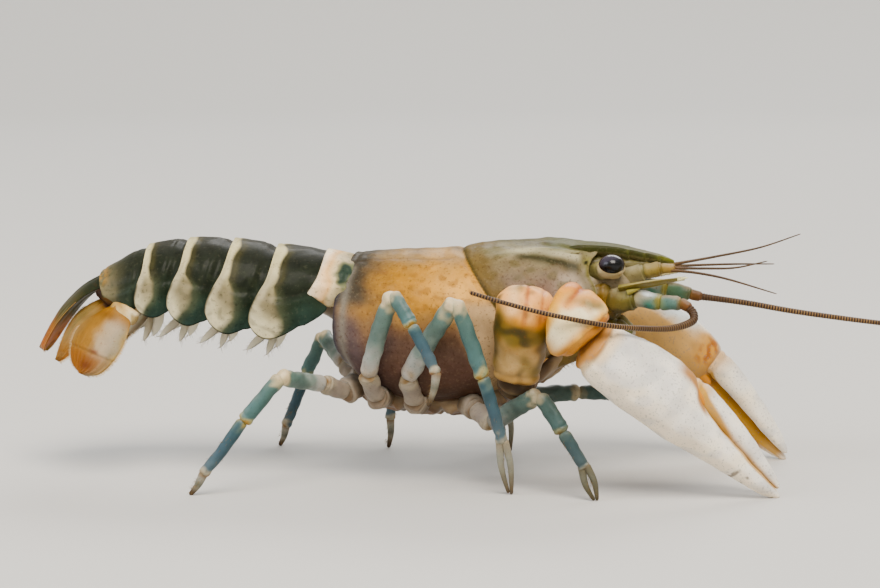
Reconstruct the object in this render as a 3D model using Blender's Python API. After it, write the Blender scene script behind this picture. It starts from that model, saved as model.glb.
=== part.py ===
# Zebra crayfish, Cherax peknyi: a still, life-size model that stands on a flat floor.
#
# The animal faces +X, its left side is +Y and up is +Z. The tables hold millimetres,
# measured from a point on the floor under the thorax, and the objects are in metres.
# The last step moves the whole animal so that the origin is the middle of its box, on
# the floor. Each piece starts inside what it grows from and is then cut clear of it.

import math

import bmesh
import bpy
from mathutils import Matrix, Vector

MM = 0.001
GAP = 0.3
RIGHT, LEFT = -1, 1
SIDES = {"right": RIGHT, "left": LEFT}

# Carapace, from the recess inside its rear rim to the front edge behind the eyes. Each row
# is a cross-section: x, top z, z of the widest part, bottom z, half width, and how far the
# flank bulges back.
CARAPACE = (
    (-12.9, 34.7, 25.4, 20.2, 8.5, 0.0),
    (-13.6, 35.7, 25.4, 19.0, 9.4, 2.2),
    (-12.0, 36.1, 25.2, 17.0, 10.4, 2.0),
    (-8.5, 36.4, 24.8, 14.4, 11.7, 1.2),
    (-3.0, 36.8, 24.4, 12.8, 12.4, 0.0),
    (3.0, 37.1, 24.4, 12.7, 12.4, 0.0),
    (9.0, 38.1, 25.2, 14.4, 11.8, 0.0),
    (14.5, 38.5, 26.6, 17.8, 10.7, 0.0),
    (20.0, 38.5, 28.4, 21.8, 9.1, 0.0),
    (25.2, 37.6, 30.0, 25.6, 6.9, 0.0),
)
CARAPACE_ROUNDNESS = (2.1, 2.7)  # superellipse powers, above and below the widest part
GROOVE_TOP = (3.7, 37.1)  # the cervical groove on the back, as x and z
GROOVE_LEAN = 35.0  # degrees by which it runs forwards on its way down

# Rostrum rows: x, top z, half width, thickness.
ROSTRUM = (
    (17.0, 38.4, 4.3, 2.6),
    (24.0, 38.4, 3.7, 2.4),
    (28.0, 38.0, 3.0, 2.1),
    (32.0, 37.1, 2.2, 1.8),
    (35.0, 36.3, 1.3, 1.3),
    (37.0, 35.3, 0.3, 0.5),
)
ROSTRUM_TEETH_X = (29.6, 32.2, 34.4)
TOOTH = (1.5, 0.55)  # length and root radius of a rostral tooth
BROW_SPINE = ((17.5, 5.0, 36.3), (22.6, 5.3, 36.9), 0.8)  # root, tip, root radius

# Face below the rostrum: x, top z, bottom z, half width.
FACE = (
    (21.0, 34.0, 25.0, 5.6),
    (26.0, 34.6, 25.6, 5.4),
    (29.0, 34.2, 27.0, 4.3),
    (31.0, 33.4, 28.6, 3.0),
)

# Underside of the thorax between the legs: x, top z, bottom z, half width.
UNDERSIDE = (
    (-14.2, 18.5, 15.2, 3.2),
    (-10.0, 16.5, 12.0, 5.4),
    (-2.0, 15.0, 10.8, 6.4),
    (8.0, 16.0, 11.3, 6.4),
    (16.0, 20.0, 15.6, 5.2),
    (22.5, 25.0, 21.0, 3.6),
)

# Joints of the tail along the back: x, z, lean of the joint in degrees (its lower end
# towards the tail), half width, depth of the flesh between the side plates.
TAIL_JOINTS = (
    (-12.2, 35.2, 8.0, 8.2, 7.4),
    (-18.6, 36.3, 14.0, 9.0, 8.4),
    (-26.3, 37.0, 17.0, 9.3, 8.6),
    (-33.3, 37.9, 17.0, 9.1, 8.2),
    (-40.6, 37.9, 12.0, 8.7, 7.6),
    (-47.1, 36.8, 5.0, 8.0, 6.8),
    (-54.4, 32.5, -20.0, 6.2, 5.0),
)
# Side plates of each tail ring: depth at its front, deepest point, depth at its rear,
# and how far along the ring the deepest point lies.
SIDE_PLATES = (
    (6.6, 7.8, 7.7, 0.70),
    (11.6, 14.1, 11.4, 0.53),
    (13.1, 14.2, 11.0, 0.35),
    (13.0, 13.5, 10.2, 0.25),
    (11.4, 11.7, 8.6, 0.20),
    (9.8, 9.9, 5.6, 0.06),
)
SIDE_PLATE_WALL = 1.1
RING_SWELL = 0.35  # each ring of the tail stands this much proud between its joints
# Right half of a tail ring from the back down: share of the half width, share of the depth.
RING_OUTLINE = (
    (0.0, 0.0), (0.34, 0.03), (0.62, 0.12), (0.83, 0.28), (0.95, 0.47), (1.0, 0.66),
    (0.98, 0.84), (0.92, 1.0),
)

# Tail fan. Each blade: points along its middle from root to tip, direction of its width,
# half width, half thickness, and the share of its length at which it is widest.
TELSON = (
    ((-53.2, 0.0, 31.4), (-58.0, 0.0, 29.2), (-62.2, 0.0, 24.6), (-65.2, 0.0, 19.6)),
    (0.0, 1.0, 0.0), 5.2, 0.75, 0.35,
)
INNER_UROPOD = (
    ((-51.6, 5.2, 28.6), (-57.2, 6.6, 24.6), (-61.6, 7.8, 18.6)),
    (0.55, 0.72, -0.42), 3.2, 0.5, 0.6,
)
# The left one is folded further back than the right one.
OUTER_UROPODS = {
    "right": (
        ((-50.4, 6.8, 27.6), (-52.8, 9.4, 22.6), (-53.8, 10.8, 17.6)),
        (0.86, 0.45, -0.12), 4.9, 0.6, 0.62,
    ),
    "left": (
        ((-50.4, 6.8, 27.6), (-54.8, 8.8, 23.6), (-58.0, 9.6, 19.0)),
        (0.62, 0.72, -0.30), 4.6, 0.6, 0.62,
    ),
}
UROPOD_STALK = ((-49.4, 5.0, 27.4), (-50.2, 6.6, 26.9), (-51.6, 7.2, 26.4))
UROPOD_STALK_RADII = (1.2, 1.7, 1.5)

# Swimmerets hang under tail rings 2 to 5: half spread, stalk and blade lengths, and the
# blades' half width and half thickness.
SWIMMERET = {"spread": 5.0, "stalk": 3.2, "blade": 6.6, "half_width": 1.0, "half_thickness": 0.3}

EYE_CENTRE = (27.4, 5.7, 35.0)
EYE_HALF = (2.05, 1.9, 1.65)
EYESTALK_ROOT = (24.2, 3.6, 33.6)
EYESTALK_RADII = (1.3, 1.75)

# Antennules: a stalk and two whips each. Whip points are given for each side.
ANTENNULE_STALK = ((29.8, 1.7, 32.6), (33.2, 1.8, 33.6), (36.4, 1.8, 34.1))
ANTENNULE_STALK_RADII = (1.5, 1.3, 0.85)
ANTENNULE_WHIPS = {
    "right": (
        ((36.2, -1.7, 34.2), (41.7, -2.6, 34.3), (46.5, -3.9, 34.6), (51.4, -6.0, 35.9)),
        ((36.2, -2.1, 33.9), (40.5, -3.6, 33.7), (45.4, -6.0, 33.0), (52.8, -9.4, 31.2)),
    ),
    "left": (
        ((36.2, 1.7, 34.4), (43.6, 4.6, 35.5), (50.6, 7.0, 36.8), (57.0, 9.4, 38.8)),
        ((36.2, 2.1, 34.1), (41.8, 3.0, 34.3), (47.2, 3.9, 34.4), (52.8, 4.6, 34.4)),
    ),
}
ANTENNULE_WHIP_RADII = (0.42, 0.25)

# Antennae: a jointed stalk, a scale beside it and a long whip in two lengths.
ANTENNA_STALK = {
    "right": ((27.4, -5.0, 29.2), (31.4, -6.6, 30.6), (35.6, -7.6, 29.2), (39.0, -8.2, 29.7)),
    "left": ((27.4, 5.0, 29.2), (31.4, 6.4, 30.6), (36.0, 6.8, 30.0), (41.0, 6.6, 28.9)),
}
ANTENNA_STALK_RADII = (2.1, 1.8, 1.45, 1.0)
ANTENNA_SCALE = (((28.4, 6.6, 31.7), (39.2, 6.8, 32.9)), (0.1, 0.95, 0.2), 1.7, 0.45, 0.45)
ANTENNA_WHIPS = {
    "right": (
        ((38.7, -8.3, 29.6), (40.1, -9.0, 28.4), (39.9, -10.6, 26.9), (37.2, -13.6, 26.3),
         (33.4, -17.4, 26.6)),
        ((33.4, -17.4, 26.6), (27.0, -23.2, 27.8), (18.8, -26.3, 29.7), (11.6, -27.1, 31.6),
         (7.2, -27.1, 32.9)),
    ),
    "left": (
        ((40.6, 6.6, 28.9), (48.6, 8.2, 27.7), (57.1, 10.0, 26.1), (70.0, 13.6, 24.1)),
        ((70.0, 13.6, 24.1), (82.0, 17.6, 22.6), (93.0, 22.0, 21.4), (103.0, 26.6, 20.6)),
    ),
}
ANTENNA_WHIP_RADII = {"right": ((0.62, 0.45), (0.45, 0.3)), "left": ((0.62, 0.42), (0.42, 0.25))}

# Third maxilliped: a thick folded limb under the mouth, with a palp that hangs from it.
MAXILLIPED = (
    ((16.5, 2.9, 18.6), (22.6, 2.9, 21.8), (28.2, 2.7, 25.6), (30.2, 2.5, 23.6), (29.0, 2.3, 20.4)),
    (1.5, 1.7, 1.5, 1.0, 0.5),
)

# Claw limbs, given for each side from the body outwards.
CLAW_LIMBS = {
    "right": {
        "hip": (12.6, -5.6, 15.6), "elbow_low": (13.1, -12.9, 18.0),
        "elbow_high": (14.8, -17.4, 30.0),
        "bend": ((19.0, -18.1, 29.3), (20.8, -18.6, 28.7), (22.7, -19.0, 27.3)),
        "wrist": (24.4, -19.2, 25.4), "tip": (53.7, -11.2, 0.15), "roll": 48.0,
        "finger_width": 1.0,
    },
    "left": {
        "hip": (12.6, 5.6, 15.6), "elbow_low": (13.6, 12.9, 18.0),
        "elbow_high": (17.4, 16.2, 30.2),
        "bend": ((21.4, 17.0, 30.5), (23.4, 17.6, 30.3), (25.8, 18.1, 29.2)),
        "wrist": (28.0, 18.4, 27.6), "tip": (55.7, 21.8, 0.15), "roll": 40.0,
        "finger_width": 0.82,
    },
}
SHOULDER_RADII = (2.4, 2.7)
# Arm: share of the way from the low elbow to the high one, half width, half thickness,
# and then the round top, with millimetres past the high elbow in place of the share.
ARM_SHARES = ((0.0, 3.4, 2.5), (0.3, 3.9, 2.9), (0.75, 4.4, 3.5), (1.0, 4.4, 3.6))
ARM_DOME = ((1.9, 3.5, 2.9), (3.0, 1.9, 1.6))
WRIST_RADII = (3.6, 4.7, 4.8, 3.7)
# Palm and fixed finger: distance from the wrist, offset of the middle towards the
# movable finger, half width, half thickness.
PALM = (
    (0.0, -0.3, 3.0, 2.8),
    (1.4, -0.5, 4.3, 3.7),
    (5.5, -0.3, 5.2, 4.3),
    (10.8, 0.4, 5.9, 4.5),
    (15.0, 0.9, 6.0, 4.4),
    (17.6, 0.8, 5.6, 4.0),
    (19.6, -0.5, 4.1, 3.6),
    (24.5, -0.85, 2.8, 2.8),
    (31.0, -0.95, 1.8, 1.9),
    (36.0, -0.75, 1.15, 1.2),
    (39.2, -0.3, 0.35, 0.4),
)
# Movable finger: distance from the wrist, offset, half width, half thickness.
FINGER = (
    (16.4, 3.9, 1.8, 2.0),
    (18.8, 4.9, 2.3, 2.5),
    (24.0, 4.6, 2.1, 2.2),
    (30.0, 3.4, 1.7, 1.8),
    (35.5, 1.9, 1.1, 1.2),
    (38.4, 1.1, 0.3, 0.4),
)

# Walking legs, from the body outwards. Pairs 2 and 3 end in small pincers.
LEGS = {
    "leg2_right": ((4.4, -5.2, 13.2), (9.2, -10.3, 10.5), (16.9, -15.8, 15.9),
                   (20.6, -17.0, 10.5), (24.0, -17.5, 5.0), (25.7, -17.2, -0.3)),
    "leg3_right": ((-2.4, -5.4, 12.8), (-3.8, -11.6, 17.8), (4.2, -17.4, 30.4),
                   (8.5, -18.4, 18.9), (11.3, -16.4, 8.6), (12.3, -13.4, -0.3)),
    "leg4_right": ((-8.2, -5.2, 13.6), (-9.9, -12.2, 18.2), (-5.4, -17.6, 31.4),
                   (-2.2, -19.9, 26.9), (1.6, -20.6, 19.8), (0.3, -20.2, 14.6)),
    "leg5_right": ((-12.4, -3.4, 15.6), (-17.2, -9.6, 16.4), (-22.6, -18.6, 18.6),
                   (-28.2, -19.8, 11.8), (-34.6, -19.6, 3.4), (-36.8, -19.0, -0.3)),
    "leg2_left": ((4.4, 5.2, 13.2), (10.6, 9.6, 11.2), (21.4, 14.6, 11.8),
                  (26.6, 16.4, 11.4), (31.4, 17.0, 9.4), (34.6, 16.6, 7.4)),
    "leg3_left": ((-2.4, 5.4, 12.8), (-3.0, 11.6, 17.4), (2.6, 17.8, 27.4),
                  (6.4, 21.4, 17.6), (8.6, 23.4, 7.6), (9.2, 24.0, -0.3)),
    "leg4_left": ((-8.2, 5.2, 13.6), (-9.2, 11.8, 17.6), (-8.4, 18.6, 27.0),
                  (-9.8, 22.6, 17.2), (-11.2, 25.4, 5.0), (-11.6, 26.0, -0.3)),
    "leg5_left": ((-12.4, 3.4, 15.6), (-16.8, 9.8, 16.6), (-21.6, 18.2, 20.4),
                  (-25.0, 21.8, 13.4), (-29.2, 25.2, 3.6), (-30.4, 26.0, -0.3)),
}
LEG_RADII = (1.9, 1.6, 1.35, 1.15, 0.85, 0.45)  # at the joints in the order above
LEG_FLATNESS = 0.82
PINCER = {"spread": 0.75, "radius": 0.55}

MATERIALS = {
    # name: (base colour, roughness)
    "shell_brown": ((0.30, 0.17, 0.11, 1.0), 0.40),
    "shell_olive": ((0.33, 0.28, 0.16, 1.0), 0.40),
    "belly_cream": ((0.70, 0.55, 0.40, 1.0), 0.55),
    "tail_green": ((0.05, 0.07, 0.05, 1.0), 0.35),
    "fan_orange": ((0.75, 0.32, 0.10, 1.0), 0.45),
    "swimmeret_clear": ((0.45, 0.36, 0.24, 1.0), 0.35),
    "eye_black": ((0.02, 0.015, 0.015, 1.0), 0.10),
    "whip_brown": ((0.16, 0.08, 0.05, 1.0), 0.45),
    "arm_orange": ((0.85, 0.45, 0.18, 1.0), 0.40),
    "claw_white": ((0.86, 0.82, 0.78, 1.0), 0.35),
    "leg_teal": ((0.12, 0.24, 0.25, 1.0), 0.40),
    "mouth_olive": ((0.36, 0.31, 0.17, 1.0), 0.45),
}


def at(point, side=LEFT):
    """A point of the tables in metres, mirrored to the right side of the animal on request."""
    return Vector((point[0], point[1] * side, point[2])) * MM


def clear_scene():
    for obj in list(bpy.data.objects):
        bpy.data.objects.remove(obj)


def make_materials():
    made = {}
    for name, (colour, roughness) in MATERIALS.items():
        material = bpy.data.materials.new(name)
        material.use_nodes = True
        shader = material.node_tree.nodes["Principled BSDF"]
        shader.inputs["Base Color"].default_value = colour
        shader.inputs["Roughness"].default_value = roughness
        shader.inputs["Metallic"].default_value = 0.0
        made[name] = material
    return made


def loft(name, rings):
    """A closed body through rings of points, each with a flat face over its two ends."""
    mesh = bmesh.new()
    rows = [[mesh.verts.new(point) for point in ring] for ring in rings]
    count = len(rows[0])
    for low, high in zip(rows, rows[1:]):
        for i in range(count):
            j = (i + 1) % count
            mesh.faces.new((low[i], low[j], high[j], high[i]))
    mesh.faces.new(reversed(rows[0]))
    mesh.faces.new(rows[-1])
    bmesh.ops.recalc_face_normals(mesh, faces=mesh.faces)
    data = bpy.data.meshes.new(name)
    mesh.to_mesh(data)
    mesh.free()
    obj = bpy.data.objects.new(name, data)
    bpy.context.scene.collection.objects.link(obj)
    return obj


def rename(obj, name):
    obj.name = name
    obj.data.name = name
    return obj


def is_closed(data):
    """Whether every edge of a mesh lies between exactly two faces."""
    mesh = bmesh.new()
    mesh.from_mesh(data)
    closed = all(len(edge.link_faces) == 2 for edge in mesh.edges)
    mesh.free()
    return closed


def apply_boolean(obj, operation, operand):
    """Applies a Boolean by the exact solver, or by the manifold one where that leaves a gap."""
    for solver in ("EXACT", "MANIFOLD"):
        change = obj.modifiers.new("change", "BOOLEAN")
        change.operation = operation
        change.solver = solver
        if isinstance(operand, bpy.types.Collection):
            change.operand_type = "COLLECTION"
            change.collection = operand
        else:
            change.object = operand
        bpy.context.view_layer.update()
        graph = bpy.context.evaluated_depsgraph_get()
        data = bpy.data.meshes.new_from_object(obj.evaluated_get(graph))
        obj.modifiers.clear()
        if is_closed(data):
            break
    obj.data = data


def keep_largest(obj):
    """Drops every closed surface but the largest, such as a scrap that a cut leaves."""
    mesh = bmesh.new()
    mesh.from_mesh(obj.data)
    unseen = set(mesh.verts)
    islands = []
    while unseen:
        island = {unseen.pop()}
        waiting = list(island)
        while waiting:
            vertex = waiting.pop()
            near = {link.other_vert(vertex) for link in vertex.link_edges} & unseen
            unseen -= near
            island |= near
            waiting += near
        islands.append(island)

    def reach(island):
        spans = [max(v.co[k] for v in island) - min(v.co[k] for v in island) for k in range(3)]
        return sum(spans)

    largest = max(islands, key=reach)
    bmesh.ops.delete(mesh, geom=[v for v in mesh.verts if v not in largest], context="VERTS")
    mesh.to_mesh(obj.data)
    mesh.free()


def fuse(name, pieces):
    """Joins closed pieces that overlap into one body by a single Boolean union."""
    body, others = pieces[0], pieces[1:]
    group = bpy.data.collections.new("to_fuse")
    bpy.context.scene.collection.children.link(group)
    for piece in others:
        bpy.context.scene.collection.objects.unlink(piece)
        group.objects.link(piece)
    apply_boolean(body, "UNION", group)
    for piece in others:
        bpy.data.objects.remove(piece)
    bpy.data.collections.remove(group)
    keep_largest(body)
    return rename(body, name)


def swollen(obj, by):
    """A copy of a body whose faces all stand out by the same distance."""
    mesh = bmesh.new()
    mesh.from_mesh(obj.data)
    bmesh.ops.triangulate(mesh, faces=mesh.faces)
    mesh.normal_update()
    moved = [v.co + v.normal * by * min(v.calc_shell_factor(), 1.6) for v in mesh.verts]
    for vertex, place in zip(mesh.verts, moved):
        vertex.co = place
    data = bpy.data.meshes.new("cutter")
    mesh.to_mesh(data)
    mesh.free()
    copy = bpy.data.objects.new("cutter", data)
    bpy.context.scene.collection.objects.link(copy)
    return copy


def cut_clear(obj, *neighbours):
    """Cuts a body back so that it faces each neighbour across the gap."""
    for neighbour in neighbours:
        cutter = swollen(neighbour, GAP * MM)
        apply_boolean(obj, "DIFFERENCE", cutter)
        bpy.data.objects.remove(cutter)
        keep_largest(obj)
    return obj


def part_by_plane(obj, point, normal):
    """Keeps the part of a body behind a plane, with a flat face over the cut."""
    mesh = bmesh.new()
    mesh.from_mesh(obj.data)
    cut = bmesh.ops.bisect_plane(
        mesh, geom=mesh.verts[:] + mesh.edges[:] + mesh.faces[:], dist=1e-7,
        plane_co=point, plane_no=normal, clear_outer=True,
    )
    rim = [item for item in cut["geom_cut"] if isinstance(item, bmesh.types.BMEdge)]
    if rim:
        bmesh.ops.contextual_create(mesh, geom=rim)
    bmesh.ops.recalc_face_normals(mesh, faces=mesh.faces)
    mesh.to_mesh(obj.data)
    mesh.free()
    return obj


def stand_on_floor(obj):
    """Ends a foot in a small flat at floor level."""
    return part_by_plane(obj, Vector((0, 0, 0)), Vector((0, 0, -1)))


def oval_ring(centre, across, up, half_across, half_up, count):
    turns = [2 * math.pi * i / count for i in range(count)]
    return [centre + across * half_across * math.cos(t) + up * half_up * math.sin(t) for t in turns]


def slab_ring(x, top, bottom, half_width, count, power=2.4):
    """A rounded box outline across the animal at one x."""
    middle, half = (top + bottom) / 2, (top - bottom) / 2
    ring = []
    for i in range(count):
        turn = 2 * math.pi * (i + 0.5) / count
        c, s = math.cos(turn), math.sin(turn)
        y = math.copysign(abs(c) ** (2 / power), c) * half_width
        z = math.copysign(abs(s) ** (2 / power), s) * half + middle
        ring.append(at((x, y, z)))
    return ring


def carapace_ring(row, count=28):
    x, top, widest, bottom, half_width, bulge = row
    ring = []
    for i in range(count):
        turn = 2 * math.pi * i / count
        c, s = math.cos(turn), math.sin(turn)
        power = CARAPACE_ROUNDNESS[0] if s >= 0 else CARAPACE_ROUNDNESS[1]
        height = top - widest if s >= 0 else widest - bottom
        y = math.copysign(abs(c) ** (2 / power), c) * half_width
        z = widest + math.copysign(abs(s) ** (2 / power), s) * height
        ring.append(at((x - bulge * abs(c) ** 1.5, y, z)))
    return ring


def smooth_path(points, steps):
    """Points along a smooth curve through the given ones (Catmull-Rom)."""
    ends = [points[0] * 2 - points[1], *points, points[-1] * 2 - points[-2]]
    path = []
    for i in range(1, len(ends) - 2):
        before, a, b, after = ends[i - 1:i + 3]
        for k in range(steps):
            t = k / steps
            path.append(0.5 * (
                2 * a + (b - before) * t
                + (2 * before - 5 * a + 4 * b - after) * t ** 2
                + (3 * a - before - 3 * b + after) * t ** 3
            ))
    return path + [points[-1]]


def spread_evenly(values, count):
    """The values read at an even spacing, by straight lines between them."""
    read = []
    for i in range(count):
        place = i / (count - 1) * (len(values) - 1)
        low = min(int(place), len(values) - 2)
        read.append(values[low] + (values[low + 1] - values[low]) * (place - low))
    return read


def tube(name, path, radii, count=8, flatness=1.0, flat_side=Vector((0, 1, 0))):
    """A limb of round or oval section along a path; flatness narrows it across the path
    in the direction nearest to flat_side."""
    rings = []
    for i, point in enumerate(path):
        ahead = path[min(i + 1, len(path) - 1)]
        behind = path[max(i - 1, 0)]
        along = (ahead - behind).normalized()
        thin = (flat_side - along * flat_side.dot(along)).normalized()
        broad = along.cross(thin)
        radius = radii[i] * MM
        rings.append(oval_ring(point, broad, thin, radius, radius * flatness, count))
    return loft(name, rings)


def jointed(points, radii, waist=0.86):
    """Path and radii of a limb whose segments swell between slightly narrower joints."""
    path, sizes = [points[0]], [radii[0]]
    for i in range(len(points) - 1):
        a, b = points[i], points[i + 1]
        for t, swell in ((0.14, 1.0), (0.84, 1.06)):
            path.append(a.lerp(b, t))
            sizes.append((radii[i] + (radii[i + 1] - radii[i]) * t) * swell)
        path.append(b)
        sizes.append(radii[i + 1] * waist)
    return path, sizes


def cone(name, root, tip, radius, count=6):
    along = (tip - root).normalized()
    side = along.orthogonal().normalized()
    up = along.cross(side)
    rings = [
        oval_ring(root.lerp(tip, t), side, up, radius * MM * r, radius * MM * r, count)
        for t, r in ((0.0, 1.0), (0.55, 0.62), (1.0, 0.12))
    ]
    return loft(name, rings)


def blade(name, points, width_way, half_width, half_thickness, widest, count=12, steps=2):
    """A flat, leaf-like plate with rounded edges: narrow at its root, round at its tip."""
    path = smooth_path(points, steps)
    rings = []
    for i, point in enumerate(path):
        t = i / (len(path) - 1)
        along = (path[min(i + 1, len(path) - 1)] - path[max(i - 1, 0)]).normalized()
        wide = (width_way - along * width_way.dot(along)).normalized()
        thick = along.cross(wide)
        if t < widest:
            share = 0.55 + 0.45 * math.sin(math.pi / 2 * t / widest)
        else:
            share = math.cos(math.pi / 2 * 0.92 * ((t - widest) / (1 - widest)) ** 2.2)
        thin = 1.0 - 0.35 * t
        rings.append(oval_ring(
            point, wide, thick, half_width * MM * share, half_thickness * MM * thin, count,
        ))
    return loft(name, rings)


def build_carapace():
    """The shield in one loft, parted at the cervical groove, with the rostrum on its front."""
    lean = math.radians(GROOVE_LEAN)
    normal = Vector((math.cos(lean), 0, math.sin(lean)))
    groove = at((GROOVE_TOP[0], 0, GROOVE_TOP[1]))
    rear = loft("thorax_shield", [carapace_ring(row) for row in CARAPACE])
    part_by_plane(rear, groove - normal * GAP * MM / 2, normal)
    front = loft("front_shield", [carapace_ring(row) for row in CARAPACE])
    part_by_plane(front, groove + normal * GAP * MM / 2, -normal)
    face = loft("face", [slab_ring(x, top, low, half, 16) for x, top, low, half in FACE])
    rostrum = loft("rostrum", [
        slab_ring(x, top, top - thick, half, 12) for x, top, half, thick in ROSTRUM
    ])
    pieces = [front, face, rostrum]
    for side in SIDES.values():
        for x in ROSTRUM_TEETH_X:
            pieces.append(rostral_tooth(x, side))
        root, tip, radius = BROW_SPINE
        pieces.append(cone("brow_spine", at(root, side), at(tip, side), radius))
    return rear, fuse("head_shield", pieces)


def rostral_tooth(x, side):
    """A small tooth on the rostrum's edge, rooted in it and pointing forwards."""
    rows = [(row[0], row) for row in ROSTRUM]
    before = max(row for place, row in rows if place <= x)
    after = min(row for place, row in rows if place > x)
    share = (x - before[0]) / (after[0] - before[0])
    top, half, thick = (before[k] + (after[k] - before[k]) * share for k in (1, 2, 3))
    length, radius = TOOTH
    root = at((x - 0.5, half - 0.6, top - thick * 0.35), side)
    tip = at((x + length, half + 0.35, top + 0.05), side)
    return cone("tooth", root, tip, radius)


def plate_depth(index, share):
    """How deep a tail ring's side plates hang at a share of the ring's length."""
    front, deepest, rear, lowest_at = SIDE_PLATES[index]
    if share < lowest_at:
        return front + (deepest - front) * math.sin(math.pi / 2 * share / lowest_at)
    past = (share - lowest_at) / (1 - lowest_at)
    return deepest - (deepest - rear) * (1 - math.cos(math.pi / 2 * past))


def tail_slice(index, share):
    """The closed outline of tail ring number index at a share of its length."""
    front, rear = TAIL_JOINTS[index], TAIL_JOINTS[index + 1]
    x, z, lean, half, flesh = (a + (b - a) * share for a, b in zip(front, rear))
    swell = math.sin(math.pi * share)
    depth = plate_depth(index, share)
    half += RING_SWELL * swell
    turn = math.radians(lean)
    down = Vector((-math.sin(turn), 0, -math.cos(turn)))
    back = at((x, 0, z)) - down * RING_SWELL * swell * MM

    def place(y, deep):
        return back + Vector((0, y * MM, 0)) + down * deep * MM

    outer = [(w * half, d * depth) for w, d in RING_OUTLINE]
    rim = outer[-1][0] - SIDE_PLATE_WALL
    # The side plate's inner face rises from its rim to the flesh between the plates.
    floor = min(flesh, depth - 0.8)
    inner = [(rim, depth - 0.15), (rim - 0.35, (depth + floor) / 2), (rim - 0.9, floor),
             (rim * 0.5, floor + 0.25)]
    half_ring = outer + inner
    ring = [place(y, d) for y, d in half_ring] + [place(0, floor + 0.35)]
    ring += [place(-y, d) for y, d in reversed(half_ring[1:])]
    return ring


def build_tail():
    rings = []
    for index in range(len(SIDE_PLATES)):
        front, rear = TAIL_JOINTS[index], TAIL_JOINTS[index + 1]
        length = math.hypot(rear[0] - front[0], rear[1] - front[1])
        trim = GAP / 2 / length
        shares = (trim, 0.12, 0.3, 0.5, 0.7, 0.88, 1 - trim)
        rings.append(loft(f"tail_ring_{index + 1}", [tail_slice(index, s) for s in shares]))
    return rings


def build_tail_fan(last_ring):
    def make(name, size, side):
        points, way, half, thick, widest = size
        way = Vector((way[0], way[1] * side, way[2]))
        middle = [at(point, side) for point in points]
        return blade(name, middle, way, half, thick, widest, steps=8 // len(points) + 1)

    telson = make("telson", TELSON, LEFT)
    cut_clear(telson, last_ring)
    made = [telson]
    for word, side in SIDES.items():
        inner = make(f"uropod_inner_{word}", INNER_UROPOD, side)
        outer = make(f"uropod_outer_{word}", OUTER_UROPODS[word], side)
        stalk = tube("stalk", [at(p, side) for p in UROPOD_STALK], UROPOD_STALK_RADII)
        outer = fuse(outer.name, [outer, stalk])
        cut_clear(outer, last_ring, telson)
        cut_clear(inner, last_ring, telson, outer)
        made += [inner, outer]
    return made


def build_swimmerets(ring, index):
    """A pair of two-bladed swimmerets on the bar that joins them under a tail ring."""
    x, z, lean, _, flesh = (
        (a + b) / 2 for a, b in zip(TAIL_JOINTS[index], TAIL_JOINTS[index + 1])
    )
    turn = math.radians(lean)
    down = Vector((-math.sin(turn), 0, -math.cos(turn)))
    size = SWIMMERET
    under = at((x, 0, z)) + down * (flesh + 0.9) * MM
    spread = size["spread"] - 0.35 * index
    ends = [under + Vector((0, spread * side * MM, 0)) for side in (RIGHT, LEFT)]
    pieces = [tube("bar", ends, (0.75, 0.75), count=6, flat_side=Vector((0, 0, 1)))]
    for word, side in SIDES.items():
        top = under + Vector((0, (spread - 0.6) * side, 0)) * MM
        hang = Vector((-0.35, 0.1 * side, -1)).normalized()
        knee = top + hang * size["stalk"] * MM
        pieces.append(tube("stalk", [top, knee], (0.75, 0.7), count=6))
        for way, longer in ((Vector((-0.75, 0.3 * side, -0.75)), 1.0), (Vector((-0.25, 0, -1)), 0.85)):
            way.normalize()
            start = knee - hang * 0.4 * MM
            end = start + way * size["blade"] * longer * MM
            pieces.append(blade(
                "blade", [start, end], Vector((1, 0.8 * side, -0.6)),
                size["half_width"], size["half_thickness"], 0.55, count=6, steps=3,
            ))
    pair = fuse(f"swimmerets_{index + 1}", pieces)
    return cut_clear(pair, ring)


def build_eye(word, side, head):
    """A dark cornea on a short stalk, set in the hollow below the rostrum."""
    centre, root = at(EYE_CENTRE, side), at(EYESTALK_ROOT, side)
    along = (centre - root).normalized()
    rings = []
    for i in range(9):
        turn = math.pi * (i + 0.35) / 8.7
        ring = oval_ring(
            Vector((-math.cos(turn) * EYE_HALF[0] * MM, 0, 0)), Vector((0, 1, 0)), Vector((0, 0, 1)),
            EYE_HALF[1] * MM * math.sin(turn), EYE_HALF[2] * MM * math.sin(turn), 14,
        )
        rings.append([centre + point for point in ring])
    globe = loft("globe", rings)
    stalk = tube("stalk", [root, centre - along * 0.6 * MM], EYESTALK_RADII, count=10)
    return cut_clear(fuse(f"eye_{word}", [globe, stalk]), head)


def build_antennule(word, side, head):
    stalk = tube(
        "stalk", [at(p, side) for p in ANTENNULE_STALK], ANTENNULE_STALK_RADII, flatness=0.9,
    )
    pieces = [stalk]
    for points in ANTENNULE_WHIPS[word]:
        path = smooth_path([at(p) for p in points], 4)
        pieces.append(tube("whip", path, spread_evenly(ANTENNULE_WHIP_RADII, len(path)), count=6))
    return cut_clear(fuse(f"antennule_{word}", pieces), head)


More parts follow.
